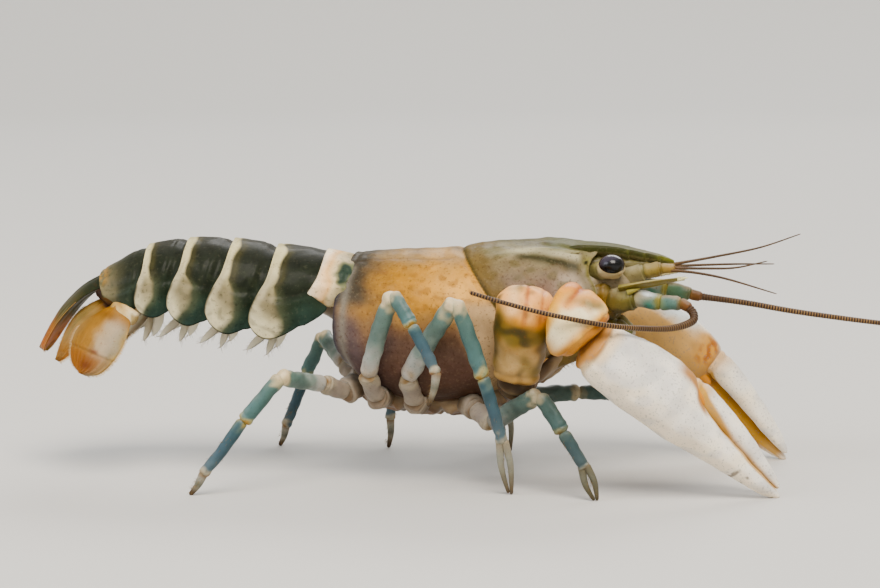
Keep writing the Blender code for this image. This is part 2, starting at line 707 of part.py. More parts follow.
def build_antenna(word, side, head):
    path, radii = jointed([at(p) for p in ANTENNA_STALK[word]], ANTENNA_STALK_RADII)
    stalk = cut_clear(tube(f"antenna_base_{word}", path, radii, count=10), head)
    points, way, half, thick, widest = ANTENNA_SCALE
    middle = [at(point, side) for point in points]
    way = Vector((way[0], way[1] * side, way[2]))
    scale = blade(f"antenna_scale_{word}", middle, way, half, thick, widest, count=10, steps=6)
    cut_clear(scale, head, stalk)
    made, before = [stalk, scale], stalk
    for number, (points, ends) in enumerate(zip(ANTENNA_WHIPS[word], ANTENNA_WHIP_RADII[word]), 1):
        path = smooth_path([at(p) for p in points], 4)
        whip = tube(f"antenna_whip_{word}_{number}", path, spread_evenly(ends, len(path)), count=6)
        cut_clear(whip, before)
        made.append(whip)
        before = whip
    return made


def build_maxilliped(word, side, *neighbours):
    points, radii = MAXILLIPED
    path, sizes = jointed([at(p, side) for p in points], radii)
    return cut_clear(tube(f"maxilliped_{word}", path, sizes, count=8), *neighbours)


class ClawFrame:
    """Directions of a claw: along it, across it towards the movable finger, and through it."""

    def __init__(self, limb, side):
        self.wrist = at(limb["wrist"])
        self.along = (at(limb["tip"]) - self.wrist).normalized()
        length = (at(limb["tip"]) - self.wrist).length / MM
        self.stretch = length / PALM[-1][0]
        inwards = Vector((0, -side, 0))
        inwards = (inwards - self.along * inwards.dot(self.along)).normalized()
        upwards = inwards.cross(self.along) * side
        roll = math.radians(limb["roll"])
        self.across = upwards * math.cos(roll) + inwards * math.sin(roll)
        self.through = self.along.cross(self.across)

    def rings(self, rows, count):
        made = []
        for distance, offset, half, thick in rows:
            centre = self.wrist + (self.along * distance * self.stretch + self.across * offset) * MM
            made.append(oval_ring(centre, self.across, self.through, half * MM, thick * MM, count))
        return made


def build_claw(word, limb, frame):
    """The palm with its fixed finger, and the movable finger that bears on it."""
    claw = loft(f"claw_{word}", frame.rings(PALM, 14))
    stand_on_floor(claw)
    slim = limb["finger_width"]
    rows = [(far, offset * (0.5 + slim / 2), half * slim, thick) for far, offset, half, thick in FINGER]
    finger = loft(f"claw_finger_{word}", frame.rings(rows, 12))
    return claw, cut_clear(finger, claw)


def build_wrist(word, side, limb, frame):
    """The rounded wrist joint with the spine on its inner side."""
    stops = [at(point) for point in limb["bend"]] + [frame.wrist + frame.along * 0.8 * MM]
    wrist = tube(f"claw_wrist_{word}", stops, WRIST_RADII, count=14)
    along = (frame.wrist - stops[0]).normalized()
    inward = Vector((0, -side, 0))
    root = stops[0].lerp(frame.wrist, 0.72) + inward * 3.6 * MM
    spine = cone("spine", root, root + (inward * 2.2 + along * 1.6) * MM, 0.9)
    return fuse(wrist.name, [wrist, spine])


def build_arm(word, low, high):
    """The broad flattened arm between the elbows, with its round top."""
    up = (high - low).normalized()
    stops = [(low.lerp(high, share), half, thick) for share, half, thick in ARM_SHARES]
    stops += [(high + up * past * MM, half, thick) for past, half, thick in ARM_DOME]
    broad = (Vector((1, 0, 0)) - up * up.x).normalized()
    through = up.cross(broad)
    rings = [oval_ring(p, broad, through, half * MM, thick * MM, 14) for p, half, thick in stops]
    return loft(f"claw_arm_{word}", rings)


def build_claw_limb(word, side, *body):
    limb = CLAW_LIMBS[word]
    hip, low, high = (at(limb[key]) for key in ("hip", "elbow_low", "elbow_high"))
    frame = ClawFrame(limb, side)
    claw, finger = build_claw(word, limb, frame)
    wrist = cut_clear(build_wrist(word, side, limb, frame), claw)
    arm = cut_clear(build_arm(word, low, high), wrist)
    shoulder = tube(f"claw_shoulder_{word}", [hip, low + (low - hip) * 0.05], SHOULDER_RADII, count=10)
    cut_clear(arm, *body)
    cut_clear(shoulder, arm, *body)
    return [shoulder, arm, wrist, claw, finger]


def build_leg(name, points, *body):
    """A walking leg in two nodes that meet at the knee, with a pincer on the front pairs."""
    hip, bend, knee, wrist, ankle, tip = (at(p) for p in points)
    path, radii = jointed([hip, bend, knee], LEG_RADII[:3])
    upper = tube(f"{name}_upper", path, radii, flatness=LEG_FLATNESS)
    cut_clear(upper, *body)
    foot = (tip - ankle).normalized()
    if name.startswith(("leg2", "leg3")):
        path, radii = jointed([knee, wrist, ankle], LEG_RADII[2:5])
        path.append(ankle + foot * 0.7 * MM)
        radii.append(LEG_RADII[4] * 0.7)
        apart = foot.cross(Vector((0, 1, 0))).normalized() * PINCER["spread"] * MM
        thin = PINCER["radius"]
        pieces = [tube("shank", path, radii, flatness=LEG_FLATNESS)]
        for way in (1, -1):
            root = ankle - foot * 0.6 * MM + apart * way * 0.4
            middle = ankle.lerp(tip, 0.5) + apart * way
            end = tip + apart * way * 0.55
            pieces.append(tube("prong", [root, middle, end], (thin, thin, thin * 0.8), count=6))
        lower = fuse(f"{name}_lower", pieces)
    else:
        path, radii = jointed([knee, wrist, ankle, tip], LEG_RADII[2:])
        lower = tube(f"{name}_lower", path, radii, flatness=LEG_FLATNESS)
    stand_on_floor(lower)
    cut_clear(lower, upper)
    return [upper, lower]


def finish(obj, material):
    obj.data.materials.clear()
    obj.data.materials.append(material)
    obj.data.shade_smooth()
    obj.data.set_sharp_from_angle(angle=math.radians(40))


def centre_on_floor(objects):
    """Moves the animal so that the origin is the middle of its box, at floor level."""
    points = [vertex.co for obj in objects for vertex in obj.data.vertices]
    low = Vector([min(p[k] for p in points) for k in range(3)])
    high = Vector([max(p[k] for p in points) for k in range(3)])
    shift = Vector((-(low.x + high.x) / 2, -(low.y + high.y) / 2, -low.z))
    for obj in objects:
        obj.data.transform(Matrix.Translation(shift))


def build_animal():
    """Every named piece with the name of its material."""
    made = []
    thorax, head = build_carapace()
    under = loft("thorax_underside", [slab_ring(x, t, b, h, 14) for x, t, b, h in UNDERSIDE])
    cut_clear(under, thorax, head)
    rings = build_tail()
    cut_clear(rings[0], thorax)
    made += [(thorax, "shell_brown"), (head, "shell_olive"), (under, "belly_cream")]
    made += [(ring, "tail_green") for ring in rings]
    made += [(piece, "fan_orange") for piece in build_tail_fan(rings[-1])]
    for index in range(1, 5):
        made.append((build_swimmerets(rings[index], index), "swimmeret_clear"))
    for word, side in SIDES.items():
        made.append((build_eye(word, side, head), "eye_black"))
        made.append((build_antennule(word, side, head), "whip_brown"))
        colours = ("leg_teal", "mouth_olive", "whip_brown", "whip_brown")
        made += zip(build_antenna(word, side, head), colours)
        made.append((build_maxilliped(word, side, head, under), "mouth_olive"))
        colours = ("belly_cream", "arm_orange", "arm_orange", "claw_white", "claw_white")
        made += zip(build_claw_limb(word, side, thorax, head, under), colours)
    for name, points in LEGS.items():
        made += [(piece, "leg_teal") for piece in build_leg(name, points, thorax, head, under)]
    return made


def main():
    clear_scene()
    materials = make_materials()
    made = build_animal()
    for obj, material in made:
        finish(obj, materials[material])
    centre_on_floor([obj for obj, _ in made])


main()
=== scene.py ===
import math

import bpy
import numpy as np
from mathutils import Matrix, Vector


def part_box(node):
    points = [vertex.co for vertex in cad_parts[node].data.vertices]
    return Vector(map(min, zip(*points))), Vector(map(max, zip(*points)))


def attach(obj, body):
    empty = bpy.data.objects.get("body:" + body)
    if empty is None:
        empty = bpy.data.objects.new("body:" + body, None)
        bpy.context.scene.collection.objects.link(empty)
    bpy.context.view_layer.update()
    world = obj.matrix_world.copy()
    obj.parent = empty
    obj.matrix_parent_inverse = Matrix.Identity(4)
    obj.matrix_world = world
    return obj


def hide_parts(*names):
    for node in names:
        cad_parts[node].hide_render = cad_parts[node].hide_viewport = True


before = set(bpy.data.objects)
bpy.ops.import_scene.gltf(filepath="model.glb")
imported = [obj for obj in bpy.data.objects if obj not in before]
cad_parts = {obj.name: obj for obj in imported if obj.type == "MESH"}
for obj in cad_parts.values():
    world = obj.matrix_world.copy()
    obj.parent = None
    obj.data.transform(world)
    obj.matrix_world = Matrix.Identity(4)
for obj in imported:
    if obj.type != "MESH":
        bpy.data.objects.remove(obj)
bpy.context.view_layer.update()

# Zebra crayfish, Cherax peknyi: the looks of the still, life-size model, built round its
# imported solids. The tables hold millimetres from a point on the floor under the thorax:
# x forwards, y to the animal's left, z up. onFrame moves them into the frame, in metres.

mm = 0.001
sides = {"right": -1, "left": 1}
shieldLow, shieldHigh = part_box("thorax_shield")
shieldRear = 15.8  # the rear rim lies this far behind the point that the tables start from
bodyShift = np.array([shieldLow.x / mm + shieldRear, (shieldLow.y + shieldHigh.y) / 2 / mm, 0.0])
print("frame loaded,", len(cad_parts), "solids")


def onFrame(points):
    # table millimetres to metres in the frame: shifted, then scaled
    return (np.asarray(points, float) + bodyShift) * mm


# Colours and numbers

lightLevel = 2.2  # what a white sheet facing the lights sends to the camera

def linear(hexColour):
    # sRGB hex to the linear values that a shader works with
    value = np.array([int(hexColour[i:i + 2], 16) for i in (1, 3, 5)]) / 255.0
    return np.where(value <= 0.04045, value / 12.92, ((value + 0.055) / 1.055) ** 2.4)


def pigment(hexColour):
    # the colour to see becomes a pigment: a little more saturated, then divided by the level
    # of the light, the palest ones less, since bright studio light washes colours out
    value = linear(hexColour)
    luma = value @ (0.2126, 0.7152, 0.0722)
    value = (luma + (value - luma) * 1.15) * (1 + 2.2 * luma ** 2) / lightLevel
    return np.clip(value, 0.002, 0.9)


def fade(low, high, value):
    # smooth step: 0 below low, 1 above high, level at both ends
    t = np.clip((np.asarray(value, float) - low) / (high - low), 0, 1)
    return t * t * (3 - 2 * t)


def fall(low, high, value):
    # smooth step down: 1 below low, 0 above high
    return 1 - fade(low, high, value)


def hump(value, centre, width):
    # bell curve: e to the minus squared distance from the centre, in widths
    return np.exp(-(((np.asarray(value, float) - centre) / width) ** 2))


def ramp(value, stops):
    # colours mixed in straight lines between places; stops holds place, colour, place, colour
    colours = np.array([pigment(colour) for colour in stops[1::2]])
    return np.stack([np.interp(value, stops[::2], colours[:, k]) for k in range(3)], -1)


def over(base, *layers):
    # colours laid over a base one after another, each followed by its amount from 0 to 1
    for colour, amount in zip(layers[::2], layers[1::2]):
        amount = np.clip(amount, 0, 1)[..., None]
        base = base * (1 - amount) + pigment(colour) * amount
    return base


def wander(points, size, seed):
    # soft blotches: the sum of sine waves of about one length in seeded random directions
    draw, waves = np.random.default_rng(seed), 14
    ways = draw.normal(size=(waves, 3))
    ways /= np.linalg.norm(ways, axis=1, keepdims=True)
    lengths = size * draw.uniform(0.7, 1.6, (waves, 1))
    turns = points @ (ways / lengths).T * 2 * np.pi + draw.uniform(0, 2 * np.pi, waves)
    return np.sin(turns).sum(-1) / math.sqrt(waves / 2)


def unit(vectors):
    # each vector divided by its length
    size = np.linalg.norm(vectors, axis=-1, keepdims=True)
    return vectors / np.maximum(size, 1e-9)


# Curves and grids

def curve(table, t):
    # Catmull-Rom curve through the rows of a table, t from 0 at the first row to 1 at the last
    table = np.asarray(table, float)
    ends = np.vstack([2 * table[0] - table[1], table, 2 * table[-1] - table[-2]])
    place = np.clip(t, 0, 1) * (len(table) - 1)
    k = np.minimum(place.astype(int), len(table) - 2)
    f = (place - k)[..., None]
    a, b, c, d = (ends[k + i] for i in range(4))
    return 0.5 * (2 * b + (c - a) * f + (2 * a - 5 * b + 4 * c - d) * f ** 2
        + (3 * b - a - 3 * c + d) * f ** 3)


def read(table, place):
    # a table's other columns at a place in its first column, on the curve through its rows
    fine = np.linspace(0, 1, 80 * len(table))
    rows = curve(table, fine)
    if rows[0, 0] > rows[-1, 0]:
        fine, rows = fine[::-1], rows[::-1]
    return curve(table, np.interp(place, rows[:, 0], fine))[..., 1:]


def signed(value, power):
    # a power of the size that keeps the sign
    return np.sign(value) * abs(value) ** power


def circle(count, power=2.0):
    # cosines and sines round a ring; a power above 2 squares its corners
    turn = 2 * np.pi * np.arange(count) / count
    return signed(np.cos(turn), 2 / power), signed(np.sin(turn), 2 / power)


def denseEnds(count):
    # shares from 0 to 1 that lie closer together towards both ends, as cosines do
    return (1 - np.cos(np.pi * np.arange(count) / (count - 1))) / 2


def evenPath(points, count, dense=False):
    # points at even distances, or dense at the ends, along the curve through the given ones
    fine = curve(points, np.linspace(0, 1, 60 * len(points)))
    gone = np.concatenate([[0], np.cumsum(np.linalg.norm(np.diff(fine, axis=0), axis=1))])
    share = denseEnds(count) if dense else np.linspace(0, 1, count)
    path = np.stack([np.interp(share * gone[-1], gone, fine[:, k]) for k in range(3)], -1)
    return path, share, gone[-1]


def blunt(share, length, start, end):
    # rounds a tube's ends: 1 along the tube, falling as a quarter circle over each end's radius
    near = np.clip(share * length / max(start, 1e-6), 0, 1)
    far = np.clip((1 - share) * length / max(end, 1e-6), 0, 1)
    return np.sqrt(1 - (1 - near) ** 2) * np.sqrt(1 - (1 - far) ** 2)


def tube(path, wide, thick, around=24, flatWay=(0, 1, 0), power=2.0):
    # profile carried along a path: each ring is the centre + wide cos + thick sin, with
    # thick in the direction nearest to flatWay; a power above 2 squares the ring's corners
    along = unit(np.gradient(path, axis=0))
    flat = np.asarray(flatWay, float)
    thin = unit(flat - along * (along @ flat)[:, None])
    broad = np.cross(along, thin)
    c, s = circle(around, power)
    return (path[:, None] + (wide[:, None] * c)[..., None] * broad[:, None]
        + (thick[:, None] * s)[..., None] * thin[:, None])


def outwards(grid, closed=True):
    # directions square to a grid surface, turned to point away from its middle
    rows = np.gradient(grid, axis=0)
    wrapped = np.concatenate([grid[:, -1:], grid, grid[:, :1]], 1) if closed else grid
    columns = np.gradient(wrapped, axis=1)
    columns = columns[:, 1:-1] if closed else columns
    way = unit(np.cross(rows, columns))
    away = grid - grid.reshape(-1, 3).mean(0)
    return way if (way * away).sum() > 0 else -way


def raised(grid, lift, closed=True):
    # a grid moved outwards by a lift for each of its points
    return grid + outwards(grid, closed) * lift[..., None]


# Meshes

def ringQuads(index):
    # quads between neighbouring rows of a table of point numbers, round and round
    loop = np.concatenate([index, index[:, :1]], 1)
    return np.stack([loop[:-1, :-1], loop[:-1, 1:], loop[1:, 1:], loop[1:, :-1]], -1).reshape(-1, 4)


def facesOut(points, quads, triangles, colours):
    # the faces as they are, or turned round where their signed volume is below zero
    cut = np.vstack([quads[:, [0, 1, 2]], quads[:, [0, 2, 3]], triangles])
    a, b, c = (points[cut[:, k]] - points.mean(0) for k in range(3))
    if (a * np.cross(b, c)).sum() < 0:
        quads, triangles = quads[:, ::-1], triangles[:, ::-1]
    return {"points": points, "quads": quads, "triangles": triangles, "colours": colours}


noTriangles = np.zeros((0, 3), int)
creaseAngle = 55  # degrees: a sharper fold between two faces shows as a crease


def part(grid, paint, plate=False):
    # a closed surface from rings of points: a fan to the mean of each end ring closes it; a
    # plate's rings run out on one face and back on the other, and a strip closes each end
    rows, columns = grid.shape[:2]
    points, colours = grid.reshape(-1, 3), np.broadcast_to(paint, grid.shape).reshape(-1, 3)
    index = np.arange(rows * columns).reshape(rows, columns)
    if plate:
        half = columns // 2
        out, back = index[:, :half], index[:, half:][:, ::-1]
        strips = [np.stack([out[0, 1:], out[0, :-1], back[0, :-1], back[0, 1:]], -1),
            np.stack([out[-1, :-1], out[-1, 1:], back[-1, 1:], back[-1, :-1]], -1)]
        return facesOut(points, np.vstack([ringQuads(index), *strips]), noTriangles, colours)
    loop = np.concatenate([index, index[:, :1]], 1)
    low = np.stack([np.full(columns, len(points)), loop[0, 1:], loop[0, :-1]], -1)
    high = np.stack([np.full(columns, len(points) + 1), loop[-1, :-1], loop[-1, 1:]], -1)
    points = np.vstack([points, grid[0].mean(0), grid[-1].mean(0)])
    colours = np.vstack([colours, colours[index[0]].mean(0), colours[index[-1]].mean(0)])
    return facesOut(points, ringQuads(index), np.vstack([low, high]), colours)


def shell(outer, thickness, paint):
    # a plate of given thickness: the outer grid, and the same grid moved in square to it
    inner = outer - outwards(outer, closed=False) * np.broadcast_to(thickness, outer.shape[:2])[...,
        None]
    paint = np.broadcast_to(paint, outer.shape)
    grid = np.concatenate([outer, inner[:, ::-1]], 1)
    # the inner face takes the outer colours dimmed to three quarters, as painted shade inside the
    # shell
    return part(grid, np.concatenate([paint, paint[:, ::-1] * 0.75], 1), plate=True)


def spikes(roots, tips, radius, colour, rings=3, corners=4):
    # many small cones at once: each ring lies on the line from root to tip and shrinks
    # towards the tip, as 1 less a power of the share along it
    t = np.linspace(0, 1, rings)
    way = unit(tips - roots)
    across = unit(np.cross(way, [0.31, 0.17, 0.94]))
    up = np.cross(way, across)
    c, s = circle(corners)
    centre = roots[:, None] + (tips - roots)[:, None] * t[:, None]
    size = np.broadcast_to(radius, len(roots))[:, None] * (1 - 0.93 * t ** 1.3)
    ring = across[:, None] * c[:, None] + up[:, None] * s[:, None]
    grid = centre[:, :, None] + size[..., None, None] * ring[:, None]
    index = np.arange(rings * corners).reshape(rings, corners)
    ends = np.array([index[0, ::-1], index[-1]]) if corners == 4 else np.zeros((0, 4), int)
    one = np.vstack([ringQuads(index), ends])
    quads = (one[None] + (np.arange(len(roots)) * rings * corners)[:, None, None]).reshape(-1, 4)
    points = grid.reshape(-1, 3)
    return facesOut(points, quads, noTriangles, np.broadcast_to(pigment(colour), points.shape))


def piece(name, parts, material, replaced=()):
    # one object from its parts, with the colours in an attribute named paint; material is a
    # name in the table of finishes
    starts = np.cumsum([0] + [len(p["points"]) for p in parts])
    points = onFrame(np.vstack([p["points"] for p in parts]))
    faces = []
    for start, p in zip(starts, parts):
        faces += (p["quads"] + start).tolist() + (p["triangles"] + start).tolist()
    mesh = bpy.data.meshes.new(name)
    mesh.from_pydata(points, [], faces)
    colours = np.ones((len(points), 4), np.float32)
    colours[:, :3] = np.vstack([p["colours"] for p in parts])
    mesh.color_attributes.new("paint", "FLOAT_COLOR", "POINT").data.foreach_set("color",
        colours.ravel())
    mesh.shade_smooth()
    mesh.set_sharp_from_angle(angle=math.radians(creaseAngle))
    mesh.materials.append(finish[material])
    obj = bpy.data.objects.new(name, mesh)
    bpy.context.scene.collection.objects.link(obj)
    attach(obj, "root")
    if replaced:
        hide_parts(*replaced)
    return obj


# Materials

def addNode(tree, kind, values=None, links=None, **settings):
    # one shader node with its settings, its unlinked values and its links
    node = tree.nodes.new("ShaderNode" + kind)
    for key, value in settings.items():
        setattr(node, key, value)
    for key, value in (values or {}).items():
        node.inputs[key].default_value = value
    for key, socket in (links or {}).items():
        tree.links.new(socket, node.inputs[key])
    return node


def chitin(name, look):
    # Shell of chitin and lime: a clear waxy skin over layers of pigment. The eye gets weak,
    # soft highlights as under water, colour a little below the surface, fine flecks and pits.
    material = bpy.data.materials.new(name)
    material.use_nodes = True
    tree = material.node_tree
    tree.nodes.clear()
    place = addNode(tree, "TexCoord").outputs["Object"]
    paint = addNode(tree, "Attribute", attribute_name="paint").outputs["Color"]
    noises = {"cloud": (4.0, 0.6), "fleck": (2.0, 0.5), "pit": (3.0, 0.55)}  # detail and roughness
    cloud, fleck, pits = (addNode(tree, "TexNoise",
        {"Scale": 1 / (look[key] * mm), "Detail": detail, "Roughness": rough},
        {"Vector": place}).outputs["Fac"] for key, (detail, rough) in noises.items())
    low, high = look["fleckFrom"], look["fleckFrom"] + 0.06
    # each noise is spread over the range of values that it drives
    spreads = ((cloud, 0.3, 0.7, 1 - look["uneven"], 1 + look["uneven"]),
        (cloud, 0.3, 0.7, look["rough"] - 0.06, look["rough"] + 0.08),
        (fleck, low, high, 0.0, look["flecks"]),
        (fleck, 1 - high, 1 - low, look.get("pale", 0.0), 0.0))
    keys = ("From Min", "From Max", "To Min", "To Max")
    light, gloss, dark, pale = (addNode(tree, "MapRange", dict(zip(keys, ends)),
        {"Value": noise}).outputs["Result"] for noise, *ends in spreads)
    mixed = addNode(tree, "VectorMath", None, {0: paint, "Scale": light},
        operation="SCALE").outputs["Vector"]
    for amount, colour in ((dark, look["fleckColour"]), (pale, look.get("paleColour", "#ffffff"))):
        mixed = addNode(tree, "Mix", {7: (*pigment(colour), 1)}, {0: amount, 6: mixed},
            data_type="RGBA").outputs[2]
    bump = addNode(tree, "Bump", {"Strength": look["bump"], "Distance": 0.12 * mm},
        {"Height": pits}).outputs[0]
    shader = addNode(tree, "BsdfPrincipled", {"Subsurface Weight": look["glow"],
        "Subsurface Radius": (1.0, 0.55, 0.35), "Subsurface Scale": 1.2 * mm,
        "IOR": look.get("ior", 1.26), "Coat Weight": look["wax"], "Coat Roughness": 0.16,
        "Coat IOR": 1.33, "Transmission Weight": look.get("clear", 0.0)},
        {"Base Color": mixed, "Roughness": gloss, "Normal": bump})
    addNode(tree, "OutputMaterial", None, {"Surface": shader.outputs["BSDF"]})
    return material


# sizes of noises in millimetres; fleckFrom is the noise level above which a dark fleck shows
chitinKeys = ("cloud", "uneven", "fleck", "fleckFrom", "flecks", "fleckColour", "rough", "pit",
    "bump", "glow", "wax", "ior", "clear", "pale", "paleColour")
chitinLooks = {
    # the back: brown and dull, with dark flecks and a few pale ones
    "carapaceChitin": (2.6, 0.16, 0.42, 0.6, 0.42, "#4a2a18", 0.46, 0.55, 0.35, 0.1, 0.07, 1.13,
        0.0, 0.035, "#e8cfa4"),
    # the tail rings: darker and tighter, almost without glow
    "tailPlateChitin": (2.2, 0.18, 0.5, 0.61, 0.35, "#141610", 0.46, 0.5, 0.3, 0.04, 0.08, 1.1, 0.0,
        0.08, "#8d8a72"),
    # the tail fan: thin, so that a little light comes through
    "tailFanChitin": (1.8, 0.12, 0.35, 0.62, 0.3, "#8a4414", 0.46, 0.35, 0.25, 0.16, 0.07, 1.13,
        0.08),
    # the claws: smooth, even and pale, like pearl
    "pearlyClawChitin": (3.0, 0.05, 0.36, 0.6, 0.45, "#9a938c", 0.48, 0.7, 0.3, 0.06, 0.1),
    # arm and wrist: warm orange with rusty flecks
    "armChitin": (2.0, 0.12, 0.4, 0.62, 0.3, "#a8601c", 0.46, 0.6, 0.3, 0.05, 0.12),
    # the legs: thin walled, so that they glow a little
    "legChitin": (1.6, 0.12, 0.3, 0.62, 0.3, "#2e4a4c", 0.44, 0.4, 0.25, 0.18, 0.12),
    # feelers: small dark flecks
    "feelerChitin": (1.2, 0.12, 0.25, 0.63, 0.3, "#2a160c", 0.46, 0.3, 0.2, 0.05, 0.1),
    # face and mouth limbs: mottled olive
    "mouthChitin": (1.6, 0.16, 0.35, 0.61, 0.35, "#4a421c", 0.46, 0.4, 0.35, 0.15, 0.12),
    # the soft underside: moist and softly lit from within
    "bellyChitin": (2.0, 0.12, 0.5, 0.62, 0.25, "#8a6a4a", 0.45, 0.5, 0.3, 0.2, 0.2),
    # swimmerets: a skin that is nearly clear
    "swimmeretSkin": (1.4, 0.08, 0.3, 0.62, 0.25, "#7a5c30", 0.4, 0.3, 0.15, 0.3, 0.1, 1.26, 0.8),
    # the cornea: smooth and wet, darker than anything else on the animal
    "corneaChitin": (0.8, 0.1, 0.2, 0.64, 0.2, "#120a0c", 0.2, 0.12, 0.05, 0.0, 0.4),
}
finish = {name: chitin(name, dict(zip(chitinKeys, row))) for name, row in chitinLooks.items()}
print("materials made,", len(finish))


# Carapace: a shell over the back and both flanks, open below and in front

carapace = {
    # x, top z, z of the widest part, bottom z, half width, how far the flank bulges back
    "rows": ((-13.6, 35.7, 25.4, 19.0, 9.4, 2.2), (-12.0, 36.1, 25.2, 17.0, 10.4, 2.0),
        (-8.5, 36.4, 24.8, 14.4, 11.7, 1.2), (-3.0, 36.8, 24.4, 12.8, 12.4, 0.0),
        (3.0, 37.1, 24.4, 12.7, 12.4, 0.0), (9.0, 38.1, 25.2, 14.4, 11.8, 0.0),
        (14.5, 38.5, 26.6, 17.8, 10.7, 0.0), (20.0, 38.5, 28.4, 21.8, 9.1, 0.0),
        (25.2, 37.6, 30.0, 25.6, 6.9, 0.0)),
    "roundness": (2.1, 2.7),
    "reach": 159.0,  # degrees from the back down to the free edge of the flank
    "perDegree": 0.17,  # millimetres round the flank for each degree, near its edge
    # where the front edge lies, by degrees from the back: over the eye it is hollowed
    "front": ((0, 25.1), (28, 25.1), (44, 24.2), (60, 23.9), (84, 25.1), (104, 24.2), (128, 21.8),
        (159, 18.8)),
    "groove": (3.7, 37.1, 35.0),  # x and z on the back, and its lean in degrees
    "grooveDepth": 0.42, "rimHeight": 0.16, "thickness": 0.5,
    "browSpine": ((17.5, 5.0, 36.3), (20.5, 5.15, 36.75), (22.6, 5.3, 36.9), 0.8),
}
rostrum = {
    # x, top z, half width, thickness
    "rows": ((16.0, 38.35, 4.3, 2.7), (20.0, 38.4, 4.1, 2.6), (24.0, 38.4, 3.7, 2.4),
        (28.0, 38.0, 3.0, 2.1), (32.0, 37.1, 2.2, 1.8), (35.0, 36.3, 1.3, 1.3),
        (37.0, 35.35, 0.3, 0.5)),
    "teeth": (29.9, 32.5, 34.7), "toothHeight": 0.5, "toothLength": 1.3,
    "hollow": 0.5,  # how far the middle lies below the raised edges
}


def aheadOfGroove(points):
    # signed distance from the neck groove, positive towards the head
    x, z, lean = carapace["groove"]
    lean = math.radians(lean)
    return (points[..., 0] - x) * math.cos(lean) + (points[..., 2] - z) * math.sin(lean)


def shieldPaint(points):
    # colours by height, behind and ahead of the neck groove, with seeded blotches and the
    # bands, spots and streaks of the photo laid over them; the two meet at the groove
    x, y, z = points[..., 0], abs(points[..., 1]), points[..., 2]
    ahead = aheadOfGroove(points)
    blotch = wander(points, 5.0, 3)
    grain = wander(points, 1.6, 4)
    rear = ramp(z + 0.5 * blotch, (12, "#3c2a20", 15, "#4e382c", 19, "#6c5044", 22.5, "#7a5f50",
        25, "#8c6a50", 27, "#ac8350", 29.5, "#c89144", 33.5, "#c08a3c", 35.4, "#a98450",
        36.4, "#a98c62", 37.4, "#7e6a4a", 38.5, "#6a5a40"))
    corner = fade(-0.8, 1.8, x - (3.0 + (28 - z) * 0.40)) * fall(28.5, 30.5, z)
    line = hump(y, 5.2 + 0.5 * np.cos(x * 0.25), 0.22) * fade(33.5, 34.5, z) * fall(-2, 0, ahead)
    rear = over(rear,
        "#efb76c", 0.85 * hump(x + (z - 31) * 0.7, 4.5, 4.6) * hump(z, 31.0, 3.4),
        "#a06a20", 0.5 * fade(0.4, 1.4, grain) * fade(26, 29, z) * fall(34.5, 35.6, z),
        "#5e4636", 0.35 * fade(0.3, 1.3, wander(points, 1.0, 7)) * fall(24, 27, z),
        "#c9a068", 0.7 * fade(35.4, 36.2, z) * hump(x, 0.5, 3.6) * fall(36.6, 37.2, z),
        "#c6a880", 0.85 * corner,
        "#5a5244", 0.92 * fall(-11.8, -5.4, x + 0.9 * blotch) * fade(26.5, 30, z),
        "#39372e", 0.7 * fall(-12.6, -9.4, x + 0.5 * grain) * fade(28, 31, z),
        "#67595a", 0.75 * fall(-13.4, -4.6, x + 0.9 * blotch) * fall(26, 29, z),
        "#6a4c34", 0.4 * line * fade(-12, -9, x))
    head = ramp(z + 0.4 * blotch, (20, "#b3a082", 24, "#b09a80", 28, "#9c7f6c", 31.5, "#937866",
        34.5, "#8f7c5e", 36.2, "#9c9070", 37.4, "#8d8462", 38.4, "#59522e"))
    streak = hump(y, 6.75, 0.6) * fade(11.5, 14.0, x) * fall(21.8, 23.0, x) * fade(32.0, 33.0, z)
    top = fade(36.6, 37.6, z) * fade(15, 19, x)
    head = over(head,
        "#c0b29c", 0.7 * fade(17, 22, x) * fall(33.0, 35.0, z),
        "#6c6238", 0.55 * fade(0.2, 1.3, wander(points, 2.4, 8)) * fade(29, 32, z),
        "#7c663a", 0.92 * fall(1.6, 5.6, ahead + 0.9 * blotch),
        "#4a401c", 0.8 * fall(0.1, 1.0, ahead),
        "#c2ba98", 0.85 * hump(y, 5.5, 0.6) * fade(9, 13, x) * fall(22, 23, x)
            * fade(33.5, 34.5, z),
        "#343418", 0.9 * streak,
        "#67683f", 0.8 * top,
        "#8d8648", 0.8 * hump(x, 23.6, 0.9) * hump(y, 5.3, 0.9) * fade(34, 35, z),
        # painted shade: a near-black pit just behind the eye, where the socket lies in shadow
        "#141a0a", fade(0.35, 0.7, hump(x, 23.4, 0.42) * hump(y, 5.7, 0.42) * fade(34, 35, z)))
    mix = fade(-0.12, 0.12, ahead)[..., None]
    return rear * (1 - mix) + head * mix


